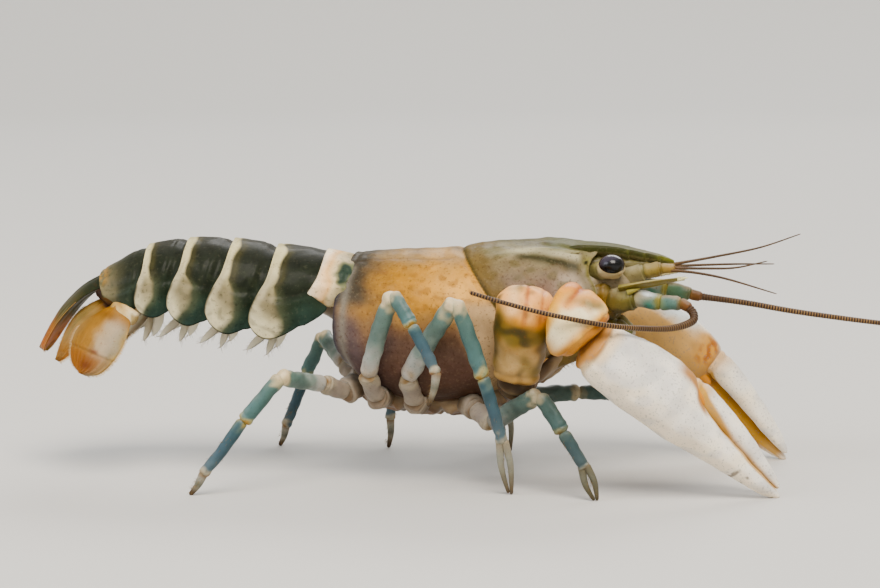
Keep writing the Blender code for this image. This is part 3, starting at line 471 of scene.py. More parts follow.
def shieldPart():
    # x runs from the rear rim to the front edge; the section is a superellipse, rounder
    # above its widest part than below, walked from one free edge over the back to the other
    size = carapace
    angle = np.linspace(-size["reach"], size["reach"], 241)
    steps = np.linspace(0, 1, 150)
    down = abs(angle)
    front = read(size["front"], down)[:, 0]
    rearX = size["rows"][0][0]
    x = rearX + (front - rearX) * steps[:, None]
    top, widest, bottom, half, bulge = np.moveaxis(read(size["rows"], x), -1, 0)
    turn = np.radians(down)
    c, s = np.sin(turn), np.cos(turn)
    power = np.where(s >= 0, *size["roundness"])
    height = np.where(s >= 0, top - widest, widest - bottom)
    y = np.sign(angle) * abs(c) ** (2 / power) * half
    z = widest + signed(s, 2 / power) * height
    grid = np.stack([x - bulge * abs(c) ** 1.5, y, z], -1)
    way = outwards(grid, closed=False)
    ahead = aheadOfGroove(grid)
    fromRear = x - rearX
    fromFront = front - x
    fromEdge = (size["reach"] - down) * size["perDegree"]
    lift = (-size["grooveDepth"] * hump(ahead, 0, 0.5) * (0.55 + 0.45 * fade(20, 60, down))
        * fall(118, 140, down))
    lift = lift + 0.12 * hump(ahead, -1.5, 1.0) * fall(118, 140, down)
    spineLine = 5.2 + 0.5 * np.cos(grid[..., 0] * 0.25)
    lift = lift - 0.05 * hump(abs(y), spineLine, 0.28) * fade(-1.0, -2.0, ahead) * (s > 0)
    for distance in (fromRear, fromFront, fromEdge):
        lift = (lift + size["rimHeight"] * hump(distance, 0.35, 0.4)
            - 0.13 * hump(distance, 1.15, 0.35))
    brow = hump(abs(y), 5.15, 0.55) * fade(12, 17, x) * fall(22.2, 23.4, x) * (s > 0)
    lift = lift + 0.38 * brow
    lift = lift + 0.035 * wander(grid, 2.4, 5) + 0.06 * wander(grid, 7.0, 6)
    grid = grid + way * lift[..., None]
    paint = shieldPaint(grid)
    rim = hump(fromRear, 1.35, 0.6) * fade(24, 40, down)
    paint = over(paint,
        "#918a7c", 0.75 * rim,
        "#9a8468", 0.5 * hump(fromEdge, 0.45, 0.25),
        "#3b3d45", 0.9 * hump(fromRear, 0.1, 0.55) * fade(30, 60, down),
        "#2b2a2e", 0.6 * hump(fromEdge, 0.0, 0.2),
        "#77722c", 0.8 * hump(fromFront, 0.3, 0.35) * fade(40, 60, down),
        "#5f5a26", 0.5 * hump(fromFront, 1.1, 0.5) * fade(40, 60, down) * fall(100, 120, down))
    return shell(grid, size["thickness"], paint)


def rostrumPart():
    # a flat, pointed beam: its half width has a saw tooth at each tooth, and its upper
    # side is hollow between two raised edges
    size = rostrum
    x = np.linspace(16.0, 37.0, 260)
    top, half, thick = np.moveaxis(read(size["rows"], x), -1, 0)
    for place in size["teeth"]:
        q = (x - place) / size["toothLength"]
        half = half + size["toothHeight"] * np.clip(np.where(q < 0, 1 + q, 1 - q * 6), 0, 1)
    top = top - 0.95 * fall(16.0, 22.5, x)
    c, s = circle(72)
    y = signed(c, 0.8) * half[:, None]
    z = (top - thick / 2)[:, None] + signed(s, 0.85) * (thick / 2)[:, None]
    share = abs(y) / half[:, None]
    slim = np.clip(half / 3.0, 0.15, 1)[:, None]
    z = z - size["hollow"] * slim * (1 - share ** 2) * fade(0.0, 0.4, s)
    z = z + 0.12 * slim * hump(share, 0.92, 0.1) * fade(-0.1, 0.3, s)
    z = z - 0.5 * slim * (1 - share ** 1.5) * fade(0.0, -0.5, s)
    grid = np.stack([np.broadcast_to(x[:, None], y.shape), y, z], -1)
    paint = shieldPaint(grid)
    green = over(paint, "#66673e", 0.8 * fade(18, 22, grid[..., 0]))
    tipAmount = fade(33.5, 36.0, grid[..., 0])
    green = over(green,
        "#40421e", 0.92 * fade(0.80, 0.93, share) * fall(0.6, 0.85, s) * fade(-0.4, -0.05, s)
            * fade(17.5, 21, grid[..., 0]),
        "#8a8358", 0.8 * fade(-0.15, -0.45, s),
        "#85863e", 0.8 * tipAmount)
    for place in size["teeth"]:
        green = over(green, "#74763c", 0.4 * hump(grid[..., 0], place - 0.1, 0.3)
            * fade(0.8, 0.95, share))
    return part(grid, green)


def browPart(side):
    # a thorn of brow along a curve: its radius falls by a power and ends in a round point
    root, middle, tip, radius = carapace["browSpine"]
    path, share, _ = evenPath([root, middle, tip], 40)
    path = path * [1, side, 1]
    size = radius * (1 - 0.82 * share ** 1.6) * np.sqrt(np.clip((1 - share) * 14, 0, 1))
    grid = tube(path, size, size * 0.8, 16)
    return part(grid, over(shieldPaint(grid), "#8f8a56", 0.5 * fade(0.35, 0.9, share)[:, None]))


piece("carapace", [shieldPart(), rostrumPart(), browPart(-1), browPart(1)], "carapaceChitin",
    ["thorax_shield", "head_shield"])
print("carapace done")


# Tail: six overlapping rings over soft flesh

tail = {
    # joints along the back: x, z, lean in degrees, half width, depth of the flesh
    "joints": ((-12.2, 35.2, 8.0, 8.2, 7.4), (-18.6, 36.3, 14.0, 9.0, 8.4),
        (-26.3, 37.0, 17.0, 9.3, 8.6), (-33.3, 37.9, 17.0, 9.1, 8.2), (-40.6, 37.9, 12.0, 8.7, 7.6),
        (-47.1, 36.8, 5.0, 8.0, 6.8), (-54.4, 32.5, -20.0, 6.2, 5.0)),
    # side plates: depth in front, deepest, depth behind, where the deepest point lies
    "plates": ((6.6, 7.8, 7.7, 0.70), (11.6, 14.1, 11.9, 0.53), (13.1, 14.2, 11.5, 0.35),
        (13.0, 13.5, 10.4, 0.25), (11.4, 11.7, 9.2, 0.20), (9.8, 9.9, 5.9, 0.06)),
    "outline": ((0.0, 0.0), (0.34, 0.03), (0.62, 0.12), (0.83, 0.28), (0.95, 0.47), (1.0, 0.66),
        (0.98, 0.84), (0.92, 1.0)),
    "swell": 0.35, "thickness": 0.42,
    # the rear and front edges as shares of the ring's length, by the way down the side
    "rear": ((0.0, 0.96), (0.1, 0.93), (0.3, 0.88), (0.44, 0.85), (0.53, 0.855), (0.62, 0.90),
        (0.74, 0.95), (0.85, 0.98), (0.95, 0.97), (1.0, 0.93)),
    "front": ((0.0, -0.14), (0.3, -0.22), (0.5, -0.30), (0.62, -0.22), (0.8, -0.14), (0.93, -0.14),
        (1.0, -0.18)),
    # the second ring's side plate reaches forwards over the first, and the last has no lobe
    "frontOfSecond": ((0.0, -0.14), (0.3, -0.22), (0.5, -0.26), (0.6, -0.16), (0.64, -0.10),
        (0.69, -0.25), (0.75, -0.45), (0.82, -0.42), (0.9, -0.30), (1.0, -0.11)),
    "rearOfFirst": ((0.0, 0.92), (0.11, 0.89), (0.38, 0.84), (0.56, 0.85), (0.73, 0.92),
        (0.83, 0.97), (0.87, 0.88), (0.95, 0.66), (1.0, 0.45)),
    "rearOfLast": ((0.0, 1.0), (0.4, 1.0), (0.7, 0.98), (0.9, 0.9), (0.96, 0.82), (1.0, 0.66)),
    # width of the cream band of rings 2 to 5, by the way down the side
    "bandPlaces": (0.0, 0.3, 0.45, 0.53, 0.62, 0.72, 0.82, 0.92, 1.0),
    "bands": ((1.7, 1.8, 1.7, 1.5, 3.0, 4.0, 4.9, 5.2, 4.3),
        (1.5, 1.5, 1.5, 1.6, 3.2, 4.2, 4.6, 3.9, 3.0),
        (1.35, 1.3, 1.25, 1.5, 3.3, 4.0, 4.0, 2.9, 2.0),
        (0.95, 1.0, 1.1, 1.9, 2.9, 3.3, 3.1, 2.4, 1.6)),
}


def ringPlace(index, share, y, deep, lift):
    # a point of tail ring number index: share along it, deep below its back square to the
    # leaning joint, lift away from the body
    joints = np.array(tail["joints"])
    a, b = joints[index], joints[index + 1]
    x, z, lean = (a[k] + (b[k] - a[k]) * share for k in range(3))
    lean = np.radians(lean)
    x = x - np.sin(lean) * (deep - lift)
    z = z - np.cos(lean) * (deep - lift)
    return np.stack(np.broadcast_arrays(x, y, z), -1)


def plateDepth(index, share):
    # how deep a side plate hangs: a quarter sine down to its deepest place, and a quarter
    # cosine up again behind it
    front, deepest, rear, lowest = tail["plates"][index]
    share = np.clip(share, 0, 1)
    rise = front + (deepest - front) * np.sin(np.pi / 2 * np.minimum(share / lowest, 1))
    past = np.clip((share - lowest) / (1 - lowest), 0, 1)
    return np.where(share < lowest, rise, deepest
        - (deepest - rear) * (1 - np.cos(np.pi / 2 * past)))


def ringPaint(index, grid, along, q, toRear, toFront):
    # dark green-grey plates, a cream band at the rear that widens into a spot on the side
    blotch = wander(grid, 4.0, 20 + index)
    base = ramp(q + 0.03 * blotch, (0.0, "#34332a", 0.25, "#2d3027", 0.42, "#2a2f23",
        0.55, "#262b20", 0.68, "#2d392b", 0.82, "#35473b", 1.0, "#3a4f47"))
    # painted sheen: a lighter patch high on the middle of each ring; then random olive blotches
    base = over(base,
        "#45453a", 0.4 * hump(q, 0.12, 0.14) * hump(along, 0.45, 0.35),
        "#3c4230", 0.35 * fade(0.1, 1.2, wander(grid, 1.8, 40 + index)) * hump(q, 0.5, 0.14))
    if index == 0:
        base = ramp(along + 0.03 * blotch, (0.0, "#8a8058", 0.3, "#b6a884", 0.50, "#d9c39a",
            0.62, "#e4b880", 0.72, "#ecc89c", 0.86, "#ecdcc0", 1.1, "#e8dac0"))
        patch = hump(along, 0.24, 0.20) * hump(q, 0.43, 0.17) + 0.12 * wander(grid, 1.8, 63)
        return over(base,
            "#7c8460", 0.8 * fade(0.15, 0.45, patch),
            "#33463c", 0.95 * fade(0.4, 0.75, patch),
            "#33402c", 0.8 * fall(0.04, 0.12, along),
            "#5a4a30", 0.4 * hump(toRear, 0.0, 0.15))
    if index == 5:
        base = ramp(along + 0.04 * blotch, (0.0, "#2e3226", 0.35, "#35382b", 0.6, "#4c4b38",
            0.82, "#706b50", 1.0, "#8f8360"))
        return over(base,
            "#3a4638", 0.75 * fade(0.45, 0.7, q) * fall(0.5, 0.75, along),
            "#8a8064", 0.6 * hump(along, 0.78, 0.2) * hump(q, 0.5, 0.3),
            "#5a5a40", 0.6 * fade(0.2, 1.2, wander(grid, 1.4, 62)) * fade(0.55, 0.8, along),
            "#b88c4c", 0.8 * hump(along, 0.92, 0.12) * fade(0.1, 0.9, wander(grid, 1.6, 61) + 0.5)
                * fall(0.35, 0.55, q),
            "#1c2414", 0.8 * hump(toRear, 0.0, 0.22) * fade(0.5, 0.7, q))
    width = np.interp(q, tail["bandPlaces"], tail["bands"][index - 1])
    inside = width + 0.16 * blotch - toRear
    low = fade(0.5, 0.62, q)
    base = over(base,
        "#585233", 0.6 * hump(inside, -0.4, 0.6) * (1 - low),
        "#5d624a", 0.6 * hump(inside, -0.6, 0.8) * low)
    cream = ramp(q + 0.02 * blotch, (0.0, "#c6bb8e", 0.2, "#cfc498", 0.45, "#cdc29a",
        0.54, "#b6ab84", 0.62, "#938868", 0.72, "#9a8f70", 0.80, "#bab08c", 0.88, "#d6cca8",
        1.0, "#d6cca8"))
    cream = over(cream,
        "#c6bc9c", 0.75 * fall(0.5, 1.4, toRear) * hump(q, 0.6, 0.16),
        "#d2c8a6", 0.7 * fall(0.6, 2.6, toRear) * fade(0.7, 0.82, q),
        "#79725a", 0.4 * fade(0.3, 1.3, wander(grid, 1.6, 80 + index)) * low,
        "#9a8f6a", 0.6 * fall(0.1, 0.6, inside) * (1 - low))
    mix = (fade(-0.08, 0.30, inside) * (1 - low) + fade(-0.7, 0.7, inside) * low)[..., None]
    base = base * (1 - mix) + cream * mix
    edge = 0.9 * fall(0.10, 0.28, toRear) * fade(0.62, 0.72, q)
    return over(base,
        "#12170e", edge + 0.9 * fall(0.10, 0.30, toFront) * fade(0.72, 0.8, q),
        "#12170e", 0.9 * fall(0.008, 0.02, 1 - q))


def ringPart(index):
    # rows run from the front edge to the rear edge, columns from one side plate's tip over
    # the back to the other; both edges curve as the tables say
    size = tail
    half = np.array(size["outline"])
    whole = np.vstack([half[:0:-1] * [-1, 1], half])
    t = np.linspace(0, 1, 221)
    wide, deep = curve(whole, t).T
    q = abs(2 * t - 1)
    frontEdge = size["frontOfSecond"] if index == 1 else size["front"]
    rearEdge = {0: size["rearOfFirst"], 5: size["rearOfLast"]}.get(index, size["rear"])
    front, rear = read(frontEdge, q)[:, 0], read(rearEdge, q)[:, 0]
    front = np.maximum(front, -0.10) if index == 5 else front
    steps = np.linspace(0, 1, 46)[:, None]
    share = front + (rear - front) * steps
    joints = np.array(size["joints"])
    length = np.linalg.norm(joints[index + 1, :2] - joints[index, :2])
    depth = plateDepth(index, share) * (1 - 0.03 * hump(steps, 0, 0.08)
        - 0.03 * hump(steps, 1, 0.08))
    halfWidth = (joints[index, 3] + (joints[index + 1, 3] - joints[index, 3]) * share
        - (0.25 if index == 5 else 0))
    swell = size["swell"] * np.sin(np.pi * np.clip(share, 0, 1))
    flare = 0.28 * fade(0.55, 1.0, share) - 0.5 * fall(-0.05, 0.22, share)
    flare = flare - 0.10 * hump(share, 0.22, 0.05) * fall(0.5, 0.7, q)
    if index == 1:
        flare = np.maximum(flare, 0.35 * fade(0.60, 0.70, q))
    grid = ringPlace(index, share, wide * (halfWidth + swell + flare), deep * depth,
        (swell + flare) * (1 - q))
    toRear, toFront = (rear - share) * length, (share - front) * length
    lift = (-0.14 * hump(toRear, 0.55, 0.18) * fall(0.5, 0.6, q)
        + 0.03 * wander(grid, 3.0, 70 + index))
    # the fold where the side plate hangs from the arch, and a hollow in the plate
    lift = lift - 0.16 * hump(q, 0.60, 0.03) * hump(steps, 0.5, 0.4) + 0.12 * hump(q, 0.68, 0.05)
    lift = lift + 0.10 * hump(q, 0.84, 0.08) * hump(steps, 0.5, 0.3)
    grid = raised(grid, lift, closed=False)
    thick = size["thickness"] * (0.45 + 0.55 * fade(0, 0.5, toRear) * fade(0, 0.5, toFront))
    return shell(grid, thick, ringPaint(index, grid, share, q * np.ones_like(share), toRear,
        toFront))


def fleshPart():
    # the muscle under the rings: a tube with a flat belly, a little narrower than they are
    share = np.linspace(-0.35, 5.9, 120)
    joints = np.array(tail["joints"])
    place = np.clip(share, 0, 5.999)
    k = place.astype(int)
    f = (share - k)[:, None]
    rows = joints[k] + (joints[k + 1] - joints[k]) * f
    c, s = circle(56)
    # in front it hangs lower, where it joins the body behind the last legs
    half, depth = rows[:, 3] - 1.7, rows[:, 4] + 0.9 + 3.2 * fall(0.0, 1.1, share)
    y = signed(c, 0.9) * half[:, None]
    middle = 5.8  # depth of the tube's own middle below the back
    reach = np.where(s > 0, 4.2, depth[:, None] - middle)  # up to the back, down to the belly
    deep = middle - np.sign(s) * abs(s) * reach
    ridge = 0.25 * np.cos(2 * np.pi * share)[:, None] * fade(0, -0.6, s)
    lean = np.radians(rows[:, 2])[:, None]
    grid = np.stack([rows[:, 0][:, None] - np.sin(lean) * (deep + ridge), y,
        rows[:, 1][:, None] - np.cos(lean) * (deep + ridge)], -1)
    paint = over(np.broadcast_to(pigment("#a8895c"), grid.shape), "#5b4a34",
        0.6 * fade(0.2, -0.4, s))
    return part(grid, paint)


for index in range(6):
    piece(f"tailRing{index + 1}", [ringPart(index)], "tailPlateChitin",
        [f"tail_ring_{index + 1}"])
piece("tailFlesh", [fleshPart()], "bellyChitin")
print("tail rings done")


# Tail fan: the middle plate and two blades on each side

fan = {
    "telson": {"middle": ((-53.2, 0.0, 31.6), (-57.6, 0.0, 29.2), (-61.6, 0.0, 25.0),
        (-64.8, 0.0, 19.8)), "way": (0.0, 1.0, 0.0), "half": 5.2, "thick": 0.95, "cup": 0.14,
        "outline": ((0, 0.64), (0.12, 0.80), (0.3, 0.98), (0.5, 1.0), (0.72, 0.94), (0.86, 0.80),
        (0.95, 0.56), (1.0, 0.10))},
    "inner": {"middle": ((-51.6, 4.8, 28.8), (-56.8, 5.4, 24.8), (-60.8, 6.4, 18.9)),
        "way": (0.55, 0.72, -0.42), "half": 3.0, "thick": 0.5, "cup": 0.12,
        "outline": ((0, 0.5), (0.15, 0.76), (0.4, 1.0), (0.6, 0.94), (0.8, 0.66), (0.92, 0.42),
        (1.0, 0.10))},
    "outer": {"middle": ((-50.6, 6.8, 27.4), (-53.4, 9.4, 23.0), (-55.8, 10.8, 17.4)),
        "way": (0.86, 0.45, -0.12), "half": 5.0, "thick": 0.6, "cup": 0.12,
        "outline": ((0, 0.42), (0.15, 0.78), (0.4, 1.0), (0.62, 0.97), (0.8, 0.80), (0.92, 0.56),
        (1.0, 0.10))},
    # the left outer blade is folded further back than the right one
    "folded": {"middle": ((-50.4, 6.8, 27.6), (-54.8, 9.6, 23.4), (-57.6, 10.6, 19.2)),
        "way": (0.70, 0.66, -0.26), "half": 4.2},
    "stalk": ((-51.8, 6.0, 28.0), (-49.8, 7.2, 27.0), (-47.3, 7.8, 25.6)),
    "stalkRadii": (0.8, 1.25, 1.15),
    "joint": ((-54.4, 5.0, 29.9), (-52.3, 6.0, 29.0), (-50.4, 6.3, 27.8)),
    "jointRadii": (0.6, 1.15, 1.0),
    "rays": 0.07, "suture": 0.70,
}


def bladeGrid(size, side, rays):
    # a leaf: an oval ring carried along a curve, its half width read from the outline, cupped
    # by the square of the distance from its middle, with fine rays that fan out to its edge
    flip = np.array([1, side, 1])
    path, share, _ = evenPath(np.array(size["middle"]) * flip, 110)
    way = np.array(size["way"]) * flip
    along = unit(np.gradient(path, axis=0))
    wide = unit(way - along * (along @ way)[:, None])
    thick = np.cross(along, wide)
    c, s = circle(96)
    half = size["half"] * read(size["outline"], share)[:, 0]
    across = signed(c, 0.9)
    body = size["thick"] * (1 - 0.45 * share)[:, None] * signed(s, 0.6)
    body = body * (0.35 + 0.65 * (1 - abs(across) ** 2.5))
    ridge = (rays * np.cos(across * 26) * np.sign(s) * fade(0.35, 0.6, share)[:, None]
        * (abs(s) > 0.1))
    midrib = 0.22 * hump(across, 0, 0.10) * np.sign(s) * fall(0.55, 0.8, share)[:, None]
    bend = size["cup"] * size["half"] * across ** 2
    grid = (path[:, None] + wide[:, None] * (half[:, None] * across)[..., None]
        + thick[:, None] * (body + ridge + midrib + bend * side)[..., None])
    return grid, share[:, None] * np.ones(96), across * np.ones((110, 1))


def fringe(grid, seed, colour="#d8b888", length=0.8):
    # short bristles all round the free edge, in the plane of the blade
    draw = np.random.default_rng(seed)
    columns = grid.shape[1]
    edges = []
    for column in (0, columns // 2):
        rows = np.arange(int(0.35 * len(grid)), len(grid) - 1)
        root = grid[rows, column]
        away = unit(root - grid[rows].mean(1))
        along = unit(np.gradient(grid[:, column], axis=0))[rows]
        edges.append((root, away, along))
    root, away, along = (np.concatenate([e[k] for e in edges]) for k in range(3))
    root, away, along = (np.repeat(v, 3, axis=0) for v in (root, away, along))
    root = root + along * draw.uniform(-0.08, 0.08, (len(root), 1)) - away * 0.1
    way = unit(away + along * draw.uniform(0.1, 0.5, (len(root), 1)))
    reach = length * draw.uniform(0.5, 1.0, (len(root), 1))
    return spikes(root, root + way * reach, 0.045, colour)


def fanPaint(kind, grid, share, across):
    # colours from root to rim, and from side to side on the outer blades, whose cross seam
    # and orange marks are laid over
    if kind == "telson":
        paint = ramp(share + 0.03 * wander(grid, 3, 90),
            (0.0, "#262e1c", 0.2, "#30351f", 0.38, "#4c4a2a", 0.52, "#5e5630", 0.62, "#7c5c2e",
            0.72, "#b4701c", 0.88, "#c87414", 1.0, "#a87840"))
        spots = fade(0.9, 1.2, wander(grid, 1.3, 93)) * fade(0.7, 0.85, share)
        return over(paint,
            "#857648", 0.5 * fade(0.7, 0.95, abs(across)) * fade(0.3, 0.6, share)
                * fall(0.6, 0.7, share),
            "#6e3010", 0.85 * spots)
    if kind == "inner":
        paint = ramp(share + 0.04 * wander(grid, 3, 91),
            (0.0, "#4a2c0e", 0.15, "#8a6026", 0.4, "#a98850", 0.62, "#b08a58", 0.8, "#a97c44",
            0.93, "#a4713a", 1.0, "#a08458"))
        return over(paint,
            "#7c7a54", 0.5 * hump(across, -0.3, 0.35) * hump(share, 0.55, 0.25),
            "#b0682a", 0.6 * fade(0.72, 0.95, across) * fade(0.3, 0.5, share))
    seam = fan["suture"]
    paint = ramp(across + 0.05 * wander(grid, 3, 92),
        (-1.0, "#a88350", -0.62, "#a87a3c", -0.2, "#b08040", 0.05, "#b9925c", 0.25, "#c2aa88",
        0.55, "#bcab90", 0.85, "#a89a7c", 1.0, "#ae9460"))
    low = fade(seam - 0.10, seam + 0.10, share)
    return over(paint,
        "#b07a28", 0.85 * fall(0.08, 0.30, share),
        "#8a5c1c", 0.6 * hump(share, 0.16, 0.06) * fall(0.1, 0.6, across),
        "#a86a1c", 0.9 * low * fall(0.45, 0.98, across),
        "#a8824e", 0.6 * low * fade(0.3, 0.9, across),
        "#7a4200", 0.95 * hump(share, seam + 0.17, 0.08) * hump(across, 0.10, 0.42),
        "#86420f", 0.85 * hump(share, seam - 0.03, 0.035) * hump(across, 0.22, 0.16),
        "#b58a50", 0.25 * hump(share, seam, 0.015))


def fanPieces():
    # each blade is a leaf with bristles; an outer one also has its seam, the short spines
    # along it, a stalk and the soft joint
    size = fan["telson"]
    grid, share, across = bladeGrid(size, 1, fan["rays"])
    piece("telsonPlate", [part(grid, fanPaint("telson", grid, share, across)),
        fringe(grid, 5, "#e0b070")], "tailFanChitin", ["telson"])
    for word, side in sides.items():
        grid, share, across = bladeGrid(fan["inner"], side, fan["rays"])
        piece(f"innerUropod_{word}", [part(grid, fanPaint("inner", grid, share, across)),
            fringe(grid, 6)], "tailFanChitin", [f"uropod_inner_{word}"])
        outer = fan["outer"] if side < 0 else {**fan["outer"], **fan["folded"]}
        grid, share, across = bladeGrid(outer, side, fan["rays"])
        groove = fan["suture"]
        lift = -0.09 * hump(share, groove, 0.018) + 0.06 * hump(share, groove - 0.04, 0.02)
        grid = raised(grid, lift)
        parts = [part(grid, fanPaint("outer", grid, share, across)), fringe(grid, 7)]
        row = int(np.argmin(abs(share[:, 0] - groove + 0.012)))
        column = np.arange(6, 44, 3) if side > 0 else np.arange(54, 94, 3)
        root = grid[row, column]
        way = unit(grid[row + 3, column] - root)
        face = outwards(grid)[row, column]
        parts.append(spikes(root - way * 0.2, root + way * 0.35 + face * 0.04, 0.10, "#9a6a34"))
        path, along, length = evenPath(np.array(fan["stalk"]) * [1, side, 1], 40, dense=True)
        radius = np.interp(along, (0, 0.5, 1), fan["stalkRadii"]) * blunt(along, length, 0.8, 0.5)
        knob = tube(path, radius, radius * 0.7, 28, power=2.6)
        paint = ramp(along[:, None] + 0.1 * wander(knob, 2, 95),
            (0.0, "#a0722c", 0.3, "#d9b67a", 0.6, "#e4c794", 0.9, "#d9c9a4", 1.0, "#b8a070"))
        parts.append(part(knob, paint))
        # the dark soft joint between the last ring, the stalk and the blades
        path, along, length = evenPath(np.array(fan["joint"]) * [1, side, 1], 40, dense=True)
        radius = np.interp(along, (0, 0.5, 1), fan["jointRadii"]) * blunt(along, length, 0.7, 0.8)
        knob = tube(path, radius, radius * 0.6, 28)
        knob = knob + outwards(knob) * (0.04 * wander(knob, 1.4, 96))[..., None]
        paint = ramp(0.5 + 0.3 * wander(knob, 1.6, 97),
            (0.0, "#2c1c08", 0.6, "#402a0e", 1.0, "#6a4a22"))
        parts.append(part(knob, paint))
        piece(f"outerUropod_{word}", parts, "tailFanChitin", [f"uropod_outer_{word}"])


fanPieces()
print("tail fan done")


# Claw limbs: shoulder, arm, wrist piece, palm with its fixed finger, and the movable finger

clawLimbs = {
    "right": {"hip": (12.6, -5.6, 15.6), "low": (13.1, -12.9, 18.0), "high": (14.8, -17.4, 30.0),
        "bend": ((19.0, -18.1, 29.3), (20.8, -18.6, 28.7), (22.7, -19.0, 27.3)),
        "wrist": (24.4, -19.2, 25.4), "tip": (53.7, -11.2, 0.15), "roll": 48.0, "slim": 1.0},
    "left": {"hip": (12.6, 5.6, 15.6), "low": (13.6, 12.9, 18.0), "high": (17.4, 16.2, 30.2),
        "bend": ((21.4, 17.0, 30.5), (23.4, 17.6, 30.3), (25.8, 18.1, 29.2)),
        "wrist": (28.0, 18.4, 27.6), "tip": (55.7, 21.8, 0.15), "roll": 40.0, "slim": 0.82},
}
palm = {
    # distance from the wrist, offset towards the movable finger, half width, half thickness
    "rows": ((0.0, -0.3, 3.0, 2.8), (1.4, -0.5, 4.3, 3.7), (5.5, -0.3, 5.2, 4.3),
        (10.8, 0.4, 5.9, 4.5), (15.0, 0.9, 6.0, 4.4), (17.6, 0.8, 5.6, 4.0), (19.6, -0.5, 4.1, 3.6),
        (24.5, -0.85, 2.8, 2.8), (31.0, -0.95, 1.8, 1.9), (36.0, -0.75, 1.15, 1.2),
        (39.2, -0.3, 0.35, 0.4)),
    "finger": ((16.4, 3.9, 1.8, 2.0), (18.8, 4.9, 2.3, 2.5), (24.0, 4.6, 2.1, 2.2),
        (30.0, 3.4, 1.7, 1.8), (35.5, 1.9, 1.1, 1.2), (38.4, 1.1, 0.3, 0.4)),
    # the fold of skin beside the hinge: distance from the wrist, offset, half thickness
    "fold": ((15.4, 4.2, 1.9), (17.4, 3.2, 2.8), (20.6, 2.3, 2.3)),
    "teeth": 17, "toothSize": 0.26,
}
arm = {
    # distance from the low elbow, half width, half thickness
    "rows": ((-0.4, 3.2, 2.4), (0.0, 3.4, 2.5), (3.9, 3.9, 2.9), (9.7, 4.4, 3.5), (12.9, 4.4, 3.6),
        (14.8, 3.6, 3.0), (16.1, 2.4, 2.0)),
    "wristRows": ((0.0, 4.5), (0.25, 5.1), (0.5, 5.2), (0.75, 5.0), (1.0, 4.0)),
}


def clawFrame(word):
    # the claw's directions: along it, across it towards the movable finger, and through it
    limb, side = clawLimbs[word], sides[word]
    wrist = np.array(limb["wrist"])
    span = np.array(limb["tip"]) - wrist
    length = np.linalg.norm(span)
    along = span / length
    inwards = unit(np.array([0, -side, 0]) - along * -side * along[1])
    upwards = np.cross(inwards, along) * side
    roll = math.radians(limb["roll"])
    across = upwards * math.cos(roll) + inwards * math.sin(roll)
    return wrist, along, across, np.cross(along, across), length / palm["rows"][-1][0]


def fingerGrid(word, rows, count, around, power, startRound):
    # an oval ring at each distance along the claw, set off across it, blunt at both ends
    wrist, along, across, through, stretch = clawFrame(word)
    rows = np.array(rows)
    share = denseEnds(count)
    place = rows[0, 0] + (rows[-1, 0] - rows[0, 0]) * share
    offset, half, thick = read(rows, place).T
    end = blunt(share, rows[-1, 0] - rows[0, 0], startRound, 0.5)
    c, s = circle(around, power)
    a = (offset[:, None] + (half * end)[:, None] * c)
    b = (thick * end)[:, None] * s
    grid = (wrist + along * (place * stretch)[:, None, None] + across * a[..., None]
        + through * b[..., None])
    return grid, place[:, None] * np.ones(around), np.ones((count, 1)) * c


def clawPaint(word, grid, place, c, movable):
    # pearly white outside; orange on the side that faces the midline, round the wrist
    # and at the hinge; straw-coloured cutting edges
    side = sides[word]
    face = outwards(grid)
    inner = fade(0.05, 0.65, -side * face[..., 1])
    blotch = wander(grid, 6.0, 130)
    base = ramp(0.5 + 0.22 * blotch, (0.0, "#d4d2cd", 0.4, "#dfdcd4", 0.7, "#e6e1d5",
        1.0, "#ebe1cd"))
    base = over(base,
        "#ecd9bc", 0.55 * fade(0.2, -0.6, face[..., 2]) + 0.1,
        "#cdcbc8", 0.45 * fade(0.3, 1.3, wander(grid, 4.0, 131)))
    if not movable:
        # the far claw shows its inner side, orange down to the finger's tip
        reach = fall(22.0, 29.0, place + 0.8 * blotch) if side < 0 else fall(32.5, 36.5, place)
        pale = fade(0.2, 0.8, c) * fade(0.3, 0.8, face[..., 2]) * fall(11, 14, place)
        knuckle = fade(0.5, 0.9, c) * hump(place, 16.2, 1.7) * inner
        hinge = (fade(12.5, 15.5, place) * fall(20.4, 22.4, place) * fade(0.12, 0.45, c)
            * (1 if side < 0 else 0.3))
        limit = np.interp(place, (20, 24.7, 28, 35), (0.55, 0.42, 0.24, 0.12))
        edge = fade(limit - 0.08, limit + 0.20, c) * fade(20, 23, place) * fall(37, 38.6, place)
        marks = (hump(place, 30.6, 0.4) * hump(c, -0.96, 0.2)
            + hump(place, 32.7, 0.4) * hump(c, -0.83, 0.16))
        # the brown-orange on the inner side towards the fixed finger is painted shadow
        return over(base,
            "#e6b072" if side < 0 else "#dfae64", 0.92 * inner * (0.3 + 0.7 * reach),
            "#a8681a", 0.85 * inner * fade(15.5, 21.0, place) * reach,
            "#c4d0d2", 0.9 * pale * fade(0.0, 0.4, inner),
            "#eeae54", 0.85 * knuckle,
            "#b0501a", 0.85 * knuckle * fade(-0.4, 0.8, wander(grid, 1.5, 134)),
            "#e6c48c", 0.7 * fall(1.8, 3.8, place + 0.3 * blotch),
            "#c48414", 0.9 * fall(1.2, 2.1, place + 0.2 * blotch),
            "#cc8a10", 0.95 * hinge,
            "#d9a43c", 0.85 * edge,
            "#6a5638", 0.75 * fade(0.3, 0.7, marks + 0.15 * wander(grid, 0.9, 133)))
    knuckle = fall(17.6, 22.6, place + 0.4 * blotch)
    limit = np.interp(place, (18.8, 20.8, 23.4, 28), (0.20, -0.30, -0.55, -0.92))
    edge = fade(limit + 0.12, limit - 0.14, c) * fade(17.5, 19.5, place)
    return over(base, "#e8b468" if side < 0 else "#dda85c", 0.8 * knuckle, "#d9a43c", 0.9 * edge)


